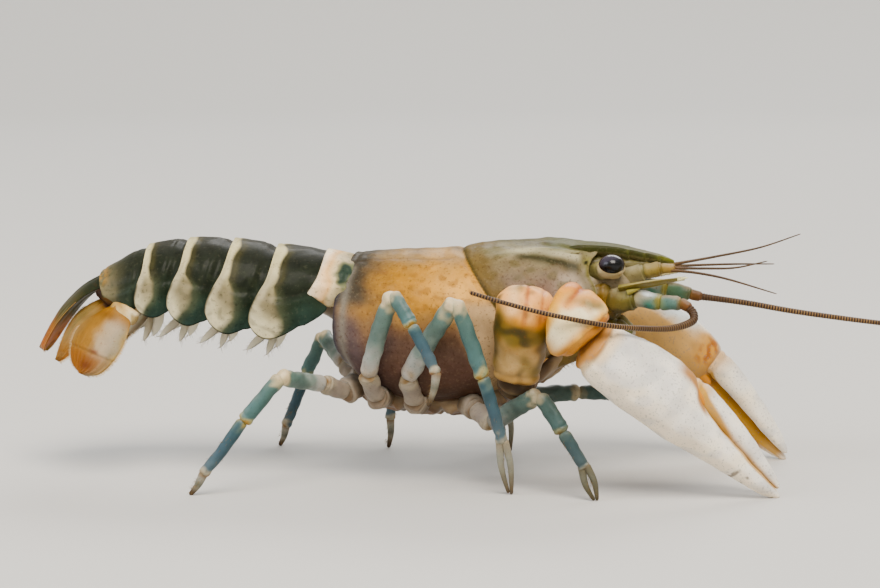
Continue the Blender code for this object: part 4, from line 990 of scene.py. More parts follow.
def teethOn(word, rows, sign, first, last, seed):
    # low rounded teeth along a cutting edge, as short blunt spikes with seeded sizes
    wrist, along, across, through, stretch = clawFrame(word)
    draw = np.random.default_rng(seed)
    count = palm["teeth"]
    place = np.linspace(first, last, count) + draw.uniform(-0.25, 0.25, count)
    offset, half = read(np.array(rows), place).T[:2]
    size = (palm["toothSize"] * draw.uniform(0.6, 1.15, count)
        * (1 - 0.45 * np.linspace(0, 1, count)))
    base = (wrist + along * (place * stretch)[:, None]
        + across * (offset + sign * (half - 0.18))[:, None]
        + through * draw.uniform(-0.12, 0.12, (count, 1)))
    tips = base + across * sign * (size * 1.5 + 0.12)[:, None] + along * 0.1
    return spikes(base, tips, size, "#8a6a30", rings=4, corners=8)


def palmPiece(word):
    # the palm with its fixed finger: a neck behind, a raised upper edge, teeth in front
    grid, place, c = fingerGrid(word, palm["rows"], 210, 88, 2.15, 1.6)
    lift = (0.05 * wander(grid, 4.5, 140) + 0.025 * wander(grid, 1.8, 141)
        - 0.35 * hump(place, 2.1, 0.5))
    lift = lift + 0.25 * hump(c, 0.97, 0.10) * fade(4, 8, place) * fall(14, 16, place)
    grid = raised(grid, lift)
    grid[..., 2] = np.maximum(grid[..., 2], 0.0)
    paint = clawPaint(word, grid, place, c, False)
    teeth = teethOn(word, palm["rows"], 1, 20.6, 37.4, 11)
    piece(f"clawPalm_{word}", [part(grid, paint), teeth], "pearlyClawChitin",
        [f"claw_{word}"])


def fingerPiece(word):
    # the movable finger with its teeth, and a fold of orange skin on each side of the hinge
    wrist, along, across, through, stretch = clawFrame(word)
    slim = clawLimbs[word]["slim"]
    rows = np.array(palm["finger"]) * [1, 0.5 + slim / 2, slim, 1]
    grid, place, c = fingerGrid(word, rows, 150, 64, 2.1, 1.8)
    lift = 0.03 * wander(grid, 3.0, 142) - 0.22 * hump(place, 19.2, 0.5)
    grid = raised(grid, lift)
    grid[..., 2] = np.maximum(grid[..., 2], 0.0)
    parts = [part(grid, clawPaint(word, grid, place, c, True)),
        teethOn(word, rows, -1, 20.4, 36.6, 12)]
    for way in (1, -1):
        stops = [wrist + along * a * stretch + across * b + through * way * t
            for a, b, t in palm["fold"]]
        path, share, length = evenPath(stops, 40, True)
        size = 0.7 * blunt(share, length, 1.2, 2.0)
        parts.append(part(tube(path, size, size * 0.7, 16), pigment("#e59a3a")))
    piece(f"clawFinger_{word}", parts, "pearlyClawChitin", [f"claw_finger_{word}"])


def wristPiece(word):
    # a barrel from the arm to the palm with a cleft above, a thorn inside and three knobs
    limb, side = clawLimbs[word], sides[word]
    wrist, along = clawFrame(word)[:2]
    path, share, length = evenPath([*limb["bend"], wrist + along * 0.7], 110, True)
    radius = read(arm["wristRows"], share)[:, 0] * blunt(share, length, 1.5, 1.5)
    grid = tube(path, radius, radius, 80)
    face = outwards(grid)
    up, outer, share = face[..., 2], side * face[..., 1], share[:, None] * np.ones(80)
    cleft = hump(share, 0.30, 0.05) * fade(0.25, 0.8, up)
    lift = (0.12 * hump(share, 0.42, 0.06) * fade(0.25, 0.8, up) - 0.4 * cleft
        + 0.07 * wander(grid, 3.5, 150))
    lift = lift + 0.2 * hump(share, 0.90, 0.035) - 0.22 * hump(share, 0.82, 0.03)
    lift = lift + 0.9 * hump(share, 0.62, 0.22) * fade(0.0, 0.9, -up)
    grid = grid + face * lift[..., None]
    blotch = wander(grid, 3.0, 151)
    paint = ramp(share + 0.05 * blotch, (0.0, "#d08c20", 0.12, "#e8a640", 0.3, "#eebc68",
        0.6, "#f0c880", 0.74, "#ecb05c", 0.84, "#d08420", 1.0, "#a86414"))
    # the pale cream patch on the outer side is partly the wrist's own cream and partly a painted
    # highlight
    paint = over(paint,
        "#f8e4c4", 0.85 * hump(outer, 0.75, 0.32) * fade(0.2, 0.4, share) * fall(0.60, 0.76, share),
        "#f2a450", 0.85 * fade(0.35, 0.8, up + 0.15 * blotch) * fall(0.5, 0.8, share),
        "#de8048", 0.6 * fade(0.8, 0.98, up) * fall(0.3, 0.5, share),
        "#d8943c", 0.85 * fade(0.15, 0.8, -up),
        "#7c7444", 0.8 * hump(up, 0.62, 0.10) * hump(share, 0.56, 0.20) * fade(0.1, 0.3, outer),
        "#b85c28", 0.8 * cleft)
    inward = np.array([0.0, -side, 0.0])
    start = np.array(limb["bend"][0])
    way = unit(wrist - start)
    root = start + (wrist - start) * 0.72 + inward * 3.4
    parts = [part(grid, paint), spikes(root[None], (root + inward * 2.2 + way * 1.6)[None],
        0.9, "#e2873a", rings=8, corners=12)]
    for angle, where in ((0.35, 0.72), (-0.2, 0.78), (0.9, 0.70)):
        row = int(where * (len(path) - 1))
        away = unit(np.array([0.2, -side * math.cos(angle), math.sin(angle)]))
        base = path[row] + away * (radius[row] - 0.25)
        tip = base + away * 0.9 + along * 0.35
        parts.append(spikes(base[None], tip[None], 0.42, "#ee9a4c", rings=6, corners=10))
    piece(f"clawWrist_{word}", parts, "armChitin", [f"claw_wrist_{word}"])


def armPiece(word):
    # a flattened club from the low elbow to the round top, with two folds over the top and
    # three teeth below the front edge
    limb, side = clawLimbs[word], sides[word]
    low, high = np.array(limb["low"]), np.array(limb["high"])
    up = unit(high - low)
    rows = arm["rows"]
    share = denseEnds(110)
    far = rows[0][0] + (rows[-1][0] - rows[0][0]) * share
    wide, thick = read(rows, far).T
    ends = blunt(share, rows[-1][0] - rows[0][0], 1.5, 2.2)
    grid = tube(low + up * far[:, None], thick * ends, wide * ends, 80, flatWay=(1, 0, 0),
        power=2.2)
    face = outwards(grid)
    broad = unit(np.array([1.0, 0, 0]) - up * up[0])
    ahead = (grid - low) @ broad
    d = far[:, None] * np.ones(80)
    folds = (hump(ahead, 0.2, 0.35) + 0.7 * hump(ahead, 2.6, 0.3)) * fade(10.2, 12.2, d)
    lift = (0.07 * wander(grid, 3.2, 152) + 0.18 * hump(d, 0.6, 0.45) - 0.15 * hump(d, 1.6, 0.45)
        - 0.14 * folds)
    grid = grid + face * lift[..., None]
    blotch = wander(grid, 2.6, 153)
    paint = ramp(d + 0.5 * blotch, (-0.3, "#a8743c", 0.7, "#be9456", 1.8, "#c8a26a", 4.0, "#ccaa74",
        7.0, "#b8925a", 9.2, "#bc8a3c", 11.3, "#e09a40", 13.0, "#f4b46c", 16.0, "#f6b474"))
    dark = fade(0.0, 1.4, wander(grid, 2.6, 155) * 0.7 + 1.5 * hump(d, 9.2, 1.7) - 0.5)
    # the pale cream near the round top is a painted highlight
    paint = over(paint,
        "#7c6c24", 0.8 * fade(-0.6, 1.0, wander(grid, 4.4, 154) * 0.5 + 1.7 * hump(d, 8.9, 2.2)
            - 0.6),
        "#423c12", 0.8 * dark * fade(2.8, 0.6, ahead),
        "#4c4624", 0.75 * fade(-2.4, -3.8, ahead) * fade(3.0, 5.0, d) * fall(11.5, 13.5, d),
        "#5e5028", 0.7 * fade(2.4, 3.8, ahead + 0.4 * blotch) * fade(1.0, 2.5, d)
            * fall(9.0, 11.0, d),
        "#f6cc98", 0.6 * hump(ahead, -1.8, 0.9) * fade(12.0, 13.5, d) * fall(15.2, 16.4, d),
        "#c4682c", 0.75 * folds)
    parts = [part(grid, paint)]
    inward = np.array([0.0, -side, 0.0])
    for where in (3.4, 5.8, 8.2):
        base = low + up * where + broad * 3.4 + inward * 1.2
        tip = base + np.array([1.0, 0, 0]) + up * 0.6
        parts.append(spikes(base[None], tip[None], 0.42, "#e0a860", rings=6, corners=10))
    piece(f"clawArm_{word}", parts, "armChitin", [f"claw_arm_{word}"])


def shoulderPiece(word):
    # two short drums between the body and the arm
    hip, low = np.array(clawLimbs[word]["hip"]), np.array(clawLimbs[word]["low"])
    parts = []
    for first, last, r0, r1 in ((0.0, 0.55, 2.9, 2.7), (0.5, 1.08, 2.3, 2.7)):
        start, end = hip + (low - hip) * first, hip + (low - hip) * last
        path, share, length = evenPath([start, (start + end) / 2, end], 40, True)
        radius = ((r0 + (r1 - r0) * share) * (1 + 0.10 * hump(share, 0.85, 0.12))
            * blunt(share, length, 0.8, 0.6))
        grid = tube(path, radius, radius * 0.9, 40)
        # their dark grey-browns are painted shade under the arm
        paint = ramp(share[:, None] + 0.05 * wander(grid, 2, 156),
            (0.0, "#4a3c2a", 0.5, "#6a5640", 0.85, "#7c684c", 1.0, "#5a4630"))
        parts.append(part(grid, paint))
    piece(f"clawShoulder_{word}", parts, "armChitin", [f"claw_shoulder_{word}"])


for word in sides:
    palmPiece(word)
    fingerPiece(word)
    wristPiece(word)
    armPiece(word)
    shoulderPiece(word)
print("claws done")


# Walking legs: six joints each, from the body outwards

legs = {
    "leg2_right": ((4.4, -5.2, 13.2), (9.2, -10.3, 10.5), (16.9, -15.8, 15.9), (20.6, -17.0, 10.5),
        (24.0, -17.5, 5.0), (25.7, -17.2, 0.0)),
    "leg3_right": ((-2.4, -5.4, 12.8), (-3.8, -11.6, 17.8), (4.2, -17.4, 30.4), (8.5, -18.4, 18.9),
        (11.3, -16.4, 8.6), (12.3, -13.4, 0.0)),
    "leg4_right": ((-8.2, -5.2, 13.6), (-9.9, -12.2, 18.2), (-5.4, -17.6, 31.4),
        (-2.2, -19.9, 26.9), (1.6, -20.6, 19.8), (0.3, -20.2, 14.6)),
    "leg5_right": ((-12.4, -3.4, 15.6), (-17.2, -9.6, 16.4), (-22.6, -18.6, 18.6),
        (-28.2, -19.8, 11.8), (-34.6, -19.6, 3.4), (-36.8, -19.0, 0.0)),
    "leg2_left": ((4.4, 5.2, 13.2), (10.6, 9.6, 11.2), (21.4, 14.6, 11.8), (26.6, 16.4, 11.4),
        (31.4, 17.0, 9.4), (34.6, 16.6, 7.4)),
    "leg3_left": ((-2.4, 5.4, 12.8), (-3.0, 11.6, 17.4), (2.6, 17.8, 27.4), (6.4, 21.4, 17.6),
        (8.6, 23.4, 7.6), (9.2, 24.0, 0.0)),
    "leg4_left": ((-8.2, 5.2, 13.6), (-9.2, 11.8, 17.6), (-8.4, 18.6, 27.0), (-9.8, 22.6, 17.2),
        (-11.2, 25.4, 5.0), (-11.6, 26.0, 0.0)),
    "leg5_left": ((-12.4, 3.4, 15.6), (-16.8, 9.8, 16.6), (-21.6, 18.2, 20.4), (-25.0, 21.8, 13.4),
        (-29.2, 25.2, 3.6), (-30.4, 26.0, 0.0)),
}
legLook = {
    "radii": (2.0, 1.6, 1.35, 1.15, 0.88, 0.5),
    "flat": 0.84, "bristles": 70,
    "reach": 26.6,  # bristle tips stop this far from the middle, inside the box of the solids
    # a segment's radius along it: narrow where it is hinged in, widest just before its end
    "profile": ((0.0, 0.90), (0.1, 0.95), (0.45, 0.97), (0.8, 1.01), (0.93, 1.05), (1.0, 1.03)),
    "colours": {"coxa": (0.0, "#5c4c38", 0.5, "#8a7862", 0.8, "#a89a88", 1.0, "#8a7258"),
        "ischium": (0.0, "#98826a", 0.15, "#a89a88", 0.6, "#a09284", 0.9, "#b0a48c",
        1.0, "#96784e"),
        "merus": (0.0, "#ab987c", 0.08, "#b4ab9e", 0.24, "#aaaca4", 0.38, "#8c9c92",
        0.54, "#6c8078", 0.80, "#708a80", 0.88, "#bcb28e", 0.93, "#d8c8a4", 1.0, "#d4bf98"),
        "carpus": (0.0, "#d4bf98", 0.12, "#c0b490", 0.24, "#5f7c74", 0.55, "#557470",
        0.82, "#5e807e", 0.93, "#aaa678", 1.0, "#b08c48"),
        "propodus": (0.0, "#a8985e", 0.08, "#6c8078", 0.20, "#44626a", 0.55, "#4a6470",
        0.85, "#5f747c", 0.94, "#b4ac94", 1.0, "#9a7248"),
        "dactyl": (0.0, "#96784e", 0.2, "#a8a292", 0.45, "#7c7c6c", 0.6, "#9a9280", 0.8, "#6a5840",
        1.0, "#4c3820")},
}


def segment(start, end, radii, colours, seed, bow=0.0, around=28, rows=64):
    # one length of a limb: a tube from joint to joint, swelling by the profile, blunt at both
    # ends, with a cuff at its far end that the next one is hinged into
    start, end = np.array(start, float), np.array(end, float)
    way = unit(end - start)
    start, end = start - way * radii[0] * 0.2, end + way * radii[1] * 0.2
    side = unit(np.cross(way, (0.2, 0.9, 0.3)))
    path, share, length = evenPath([start, (start + end) / 2 + side * bow, end], rows, True)
    base = radii[0] + (radii[1] - radii[0]) * share
    radius = base * read(legLook["profile"], share)[:, 0]
    radius = radius * blunt(share, length, radii[0] * 0.8, radii[1] * 0.7)
    grid = tube(path, radius, radius * legLook["flat"], around)
    lift = 0.04 * wander(grid, 2.0, seed) * radii[1]
    lift = lift - 0.09 * radii[1] * hump(share, 0.86, 0.03)[:, None]
    grid = raised(grid, lift)
    paint = ramp(share[:, None] + 0.035 * wander(grid, 1.6, seed + 1), colours)
    # painted light: the upward-facing side of each length is paler
    face = outwards(grid)[..., 2]
    paint = over(paint, "#d4d0c4", 0.12 * fade(0.3, 1.0, face))
    return grid, paint


def walkingLeg(name, points):
    # five segments between the joints, then a small pincer on the front pairs or a bare
    # claw on the others; nothing goes below the floor
    points = np.array(points)
    hip, bend, knee, wrist, ankle, tip = points
    side = np.sign(bend[1])
    number = int(name[3])
    seed = 200 + number * 10 + (5 if side > 0 else 0)
    # the ischium leaves the body below the flank's edge, so the coxa ends lower and further out
    out = hip + (bend - hip) * 0.42 + np.array([0, 0.9 * side, -1.5 if bend[2] > 15 else 0.4])
    bend = bend + np.array([0, 0.7 * side, 0])
    r = legLook["radii"]
    c = legLook["colours"]
    fine = {5: 0.95, 4: 0.95, 3: 1.02, 2: 1.02}[number]
    r = [v * fine for v in r]
    made = []
    for start, end, radii, key, bow in ((hip, out, (2.0, 2.1), "coxa", 0.0),
            (out - unit(out - hip) * 0.5, bend, (1.55, 1.5), "ischium", 0.1),
            (bend, knee, (r[1] * 0.95, r[2]), "merus", 0.25),
            (knee, wrist, (r[2] * 0.92, r[3]), "carpus", 0.1),
            (wrist, ankle, (r[3] * 0.92, r[4]), "propodus", 0.1)):
        grid, paint = segment(start, end, radii, c[key], seed, bow=bow)
        if number == 2 and key in ("merus", "carpus", "propodus"):
            paint = over(paint, "#46544e", 0.55)
        made.append(part(grid, paint))
        seed += 1
    foot = unit(tip - ankle)
    draw = np.random.default_rng(seed)
    if number in (2, 3):
        apart = unit(np.cross(foot, [0, 1.0, 0]))
        for way, length in ((1, 1.0), (-1, 0.97)):
            root = ankle - foot * 0.5 + apart * way * 0.38
            end = ankle + (tip - ankle) * length + apart * way * 0.22
            path, share, span = evenPath([root, ankle + (tip - ankle) * 0.45 + apart * way * 0.72,
                end], 44, True)
            size = (0.62 - 0.36 * share ** 1.5) * blunt(share, span, 0.3, 0.4)
            grid = tube(path, size, size * 0.85, 18)
            paint = ramp(share[:, None], (0.0, "#a89a80", 0.3, "#a5a494", 0.6, "#94907c",
                1.0, "#64503a"))
            paint = over(paint, "#4e4a30", 0.7) if number == 2 else paint
            made.append(part(grid, paint))
    else:
        path, share, span = evenPath([ankle - foot * 0.3,
            ankle + (tip - ankle) * 0.5 + np.array([0.25, 0, 0]), tip], 50, True)
        size = (0.74 - 0.42 * share ** 1.2) * blunt(share, span, 0.4, 0.35)
        grid = tube(path, size, size * 0.85, 20)
        made.append(part(grid, ramp(share[:, None], c["dactyl"])))
    # bristles on the last two segments
    count = legLook["bristles"]
    share = draw.uniform(0.1, 0.98, count)
    line = np.where(draw.random(count) < 0.5, 0, 1)[:, None]
    root = np.where(line == 0, wrist + (ankle - wrist) * share[:, None],
        ankle + (tip - ankle) * share[:, None] * 0.9)
    away = unit(draw.normal(size=(count, 3)))
    away = unit(away - foot * (away @ foot)[:, None])
    width = np.where(line == 0, 0.85, 0.5)
    tips = root + away * width + unit(away + foot * 1.4) * draw.uniform(0.35, 0.75, (count, 1))
    tips[:, 2] = np.maximum(tips[:, 2], 0.05)
    tips[:, 1] = np.clip(tips[:, 1], -legLook["reach"], legLook["reach"])
    made.append(spikes(root + away * width * 0.8, tips, 0.035, "#8a6c40"))
    for p in made:
        p["points"][:, 2] = np.maximum(p["points"][:, 2], 0.0)
    word = name.split("_")[1]
    piece(f"leg{number}_{word}", made, "legChitin", [f"{name}_upper", f"{name}_lower"])


for name, points in legs.items():
    walkingLeg(name, points)
print("walking legs done")


# Head: the face behind the eyes, eyes, feelers with their scales, and the mouth limbs

head = {
    # face: x, top, bottom, half width; the rear rows lie inside the carapace
    "face": ((16.5, 35.2, 21.8, 6.6), (20.5, 35.0, 23.2, 6.4), (24.4, 34.9, 24.0, 5.9),
        (27.2, 34.5, 25.5, 4.9), (29.4, 34.0, 27.2, 4.0), (31.2, 33.4, 28.8, 2.7)),
    "bridge": ((17.0, 36.4, 33.0, 4.2), (22.0, 36.5, 33.2, 4.0), (26.0, 36.5, 33.4, 3.0),
        (30.0, 35.9, 33.4, 2.5), (33.6, 35.3, 33.4, 1.5)),
    "cheek": ((25.0, 4.4, 32.0), (26.3, 4.9, 29.2), (27.7, 4.3, 26.3)),
    "cheekRadii": ((0, 1.5), (0.4, 1.75), (1, 0.75)),
    "eyeMiddle": (27.4, 5.7, 35.0), "eyeHalf": (2.05, 1.9, 1.62), "eyeAxis": (0.22, 1.0, 0.02),
    "cupMiddle": (27.2, 5.25, 34.5), "cupHalf": (2.3, 1.85, 1.78),
    "stalk": ((23.8, 3.4, 33.2), (25.4, 4.3, 33.9), (27.0, 5.2, 34.4)),
    "stalkRadii": ((0, 1.3), (1, 1.7)),
}
feelers = {
    "shortBase": ((29.0, 1.95, 32.5), (32.4, 2.0, 33.7), (35.0, 1.95, 34.1), (37.1, 1.85, 34.2)),
    "shortRadii": (1.6, 1.5, 1.35, 1.1, 0.95, 0.6),
    "shortWhips": {"right": (((36.4, -1.7, 34.2), (41.7, -2.6, 34.3), (46.5, -3.9, 34.6),
        (51.4, -6.0, 35.9)), ((36.4, -2.1, 33.9), (40.5, -3.6, 33.7), (45.4, -6.0, 33.0),
        (52.8, -9.4, 31.2))),
        "left": (((36.4, 1.7, 34.4), (43.6, 4.6, 35.5), (50.6, 7.0, 36.8), (57.0, 9.4, 38.8)),
        ((36.4, 2.1, 34.1), (41.8, 3.0, 34.3), (47.2, 3.9, 34.4), (52.8, 4.6, 34.4)))},
    "longBase": {"right": ((27.0, -5.0, 29.2), (31.2, -6.4, 30.0), (35.2, -7.5, 29.4),
        (38.2, -8.1, 29.4), (39.7, -8.5, 28.7)),
        "left": ((27.0, 5.0, 29.2), (31.4, 6.3, 30.3), (35.8, 6.8, 30.1), (39.6, 6.7, 29.2),
        (41.4, 6.6, 28.8))},
    "longRadii": (2.15, 1.85, 1.45, 1.3, 1.25, 1.1, 0.95, 0.75),
    "longWhips": {"right": ((39.4, -8.5, 28.8), (40.15, -9.2, 27.9), (39.9, -10.6, 26.9),
        (37.2, -13.6, 26.3), (33.4, -17.4, 26.6), (27.0, -23.1, 27.8), (18.8, -26.2, 29.7),
        (11.6, -27.0, 31.6), (7.2, -27.0, 32.9)),
        "left": ((40.8, 6.6, 28.9), (48.6, 8.2, 27.7), (57.1, 10.0, 26.1), (70.0, 13.6, 24.1),
        (82.0, 17.6, 22.6), (93.0, 22.0, 21.4), (103.0, 26.6, 20.6))},
    "longWhipRadii": {"right": ((0, 0.72), (0.10, 0.60), (0.3, 0.44), (0.8, 0.37), (1.0, 0.33)),
        "left": ((0, 0.62), (0.1, 0.5), (0.5, 0.40), (1.0, 0.24))},
    "ringPitch": 0.46, "shortRingPitch": 0.27,
    "scale": {"middle": ((28.6, 6.3, 31.3), (33.6, 6.7, 32.3), (38.7, 6.7, 33.1)),
        "way": (0.1, 0.95, 0.2), "half": 1.8, "thick": 0.42, "cup": 0.10,
        "outline": ((0, 0.62), (0.15, 0.85), (0.4, 1.0), (0.65, 0.94), (0.85, 0.66), (1.0, 0.16))},
}
mouthLimb = {
    "points": ((16.5, 2.9, 18.6), (22.6, 2.9, 21.8), (28.2, 2.8, 25.6), (30.2, 2.6, 23.7),
        (29.6, 2.4, 21.7), (29.0, 2.3, 20.5)),
    "radii": (1.55, 1.65, 1.6, 1.45, 1.05, 1.0, 0.9, 0.75, 0.6, 0.35), "bristles": 170,
}


def ball(middle, half, axis, rows=60, around=72):
    # ellipsoid with its poles on the axis: middle + half times (axis cos + across sin)
    axis = unit(np.array(axis, float))
    one = unit(np.cross(axis, [0.1, 0.2, 1.0]))
    two = np.cross(axis, one)
    tilt = np.linspace(0.02, np.pi - 0.02, rows)[:, None, None]
    turn = (2 * np.pi * np.arange(around) / around)[None, :, None]
    ways = axis * np.cos(tilt) + (one * np.cos(turn) + two * np.sin(turn)) * np.sin(tilt)
    return (np.array(middle) + ways * np.array(half), ways,
        np.degrees(tilt[..., 0]) * np.ones(around))


def whip(points, radii, pitch, colours, seed, around=10):
    # a feeler of many short rings: the radius and the colour follow a wave along the path
    points = np.array(points, float)
    rough = np.linalg.norm(np.diff(points, axis=0), axis=1).sum()
    path, share, length = evenPath(points, int(rough / pitch * 5))
    wave = 0.5 + 0.5 * np.cos(2 * np.pi * share * length / pitch)
    radius = read(radii, share)[:, 0] * (0.90 + 0.14 * wave) * blunt(share, length, 0.25, 0.5)
    grid = tube(path, radius, radius, around, flatWay=(0, 0.3, 1))
    dark, light, plain = colours
    depth = 0.95 * (0.7 + 0.3 * fade(-0.6, 0.8, wander(path, 6.0, seed)))
    paint = np.broadcast_to(pigment(dark), grid.shape)
    paint = over(paint,
        light, (depth * fade(0.5, 0.85, wave))[:, None],
        plain, 0.75 * fall(0.04, 0.16, share)[:, None])
    return part(grid, paint)


def jointed(points, radii, looks, seed):
    # lengths of a limb one after another, each with two radii and its own colours
    made = []
    for k, look in enumerate(looks):
        start, end = np.array(points[k], float), np.array(points[k + 1], float)
        grid, paint = segment(start - unit(end - start) * 0.25 * (k > 0), end,
            radii[2 * k:2 * k + 2], look, seed + k, around=36, rows=56)
        made.append(part(grid, paint))
    return made


def facePart(rows):
    # profile along x: a superellipse between the top and bottom lines, narrower below
    x = rows[0][0] + (rows[-1][0] - rows[0][0]) * denseEnds(110)
    top, bottom, half = read(rows, x).T
    end = blunt((x - x[0]) / (x[-1] - x[0]), x[-1] - x[0], 0.3, 1.6)
    c, s = circle(80)
    narrow = 1 - 0.30 * np.clip(-s, 0, 1)
    y = (half * end)[:, None] * signed(c, 0.85) * narrow
    z = ((top + bottom) / 2)[:, None] + ((top - bottom) / 2 * end)[:, None] * signed(s, 0.85)
    grid = np.stack([x[:, None] * np.ones(80), y, z], -1)
    lift = 0.10 * wander(grid, 2.4, 301) - 0.25 * hump(z, 31.2 - 0.25 * (x[:, None] - 27), 0.35)
    grid = raised(grid, lift)
    paint = ramp(grid[..., 2] + 0.4 * wander(grid, 1.8, 302),
        (22, "#4c3c1e", 26, "#6e5a2c", 28.5, "#86744a", 30.5, "#9a8a6c", 32.2, "#a69678",
        34.5, "#8d8258", 36.5, "#6c6638"))
    return part(grid, over(paint, "#5a4c20", 0.6 * hump(grid[..., 2], 31.2, 0.4)))


def cheekPart(side):
    # a short limb below the eye: a bent tube with one crease, flat from side to side
    path, share, length = evenPath(np.array(head["cheek"]) * [1, side, 1], 60, True)
    radius = read(head["cheekRadii"], share)[:, 0] * blunt(share, length, 1.2, 0.9)
    grid = tube(path, radius, radius * 0.75, 40)
    face = outwards(grid)
    grid = grid + face * (0.06 * wander(grid, 1.4, 303)
        - 0.12 * hump(share, 0.45, 0.05)[:, None])[..., None]
    paint = ramp(share[:, None] + 0.08 * wander(grid, 1.6, 304),
        (0.0, "#9c8a60", 0.25, "#8a6e34", 0.5, "#94702c", 0.75, "#6c5424", 1.0, "#46401c"))
    return part(grid, over(paint, "#57501f", 0.7 * fade(0.2, 0.8, face[..., 0])))


def eyePieces(word):
    # a dark half ball with a soft sheen in a pale cup, on a short stalk
    side = sides[word]
    flip = np.array([1, side, 1])
    grid, ways, tilt = ball(np.array(head["eyeMiddle"]) * flip, head["eyeHalf"],
        np.array(head["eyeAxis"]) * flip, 80, 96)
    paint = ramp(tilt, (0, "#040304", 38, "#050405", 56, "#150b0c", 70, "#321818", 84, "#4a2a26",
        96, "#6a5440"))
    sheen = (fade(0.15, 0.75, ways[..., 2] - 0.55 * ways[..., 0]) * fade(20, 45, tilt)
        * fall(80, 92, tilt))
    paint = over(paint,
        "#4a4352", 0.75 * sheen,
        "#5a2c22", 0.55 * fade(0.35, 0.8, -ways[..., 2] - 0.3 * ways[..., 0]) * fade(45, 70, tilt))
    piece(f"eyeGlobe_{word}", [part(grid, paint)], "corneaChitin", [f"eye_{word}"])

    grid, ways, tilt = ball(np.array(head["cupMiddle"]) * flip, head["cupHalf"],
        np.array(head["eyeAxis"]) * flip, 60, 80)
    grid = grid + ways * (0.04 * wander(grid, 1.4, 305))[..., None]
    paint = ramp(tilt + 4 * wander(grid, 1.2, 306),
        (40, "#c4b188", 72, "#c9b68c", 88, "#b4a276", 105, "#8d8058", 150, "#7a6e48"))
    paint = over(paint, "#8d8348", 0.55 * fade(0.3, 0.9, -ways[..., 0]) * fade(60, 80, tilt))
    made = [part(grid, paint)]
    path, share, length = evenPath(np.array(head["stalk"]) * flip, 40)
    radius = read(head["stalkRadii"], share)[:, 0] * blunt(share, length, 0.4, 1.2)
    grid = tube(path, radius, radius * 0.9, 36)
    made.append(part(grid, ramp(share[:, None] + 0.1 * wander(grid, 1.4, 307),
        (0, "#5c5630", 0.5, "#8d8352", 1, "#b9aa7c"))))
    piece(f"eyeStalk_{word}", made, "mouthChitin")


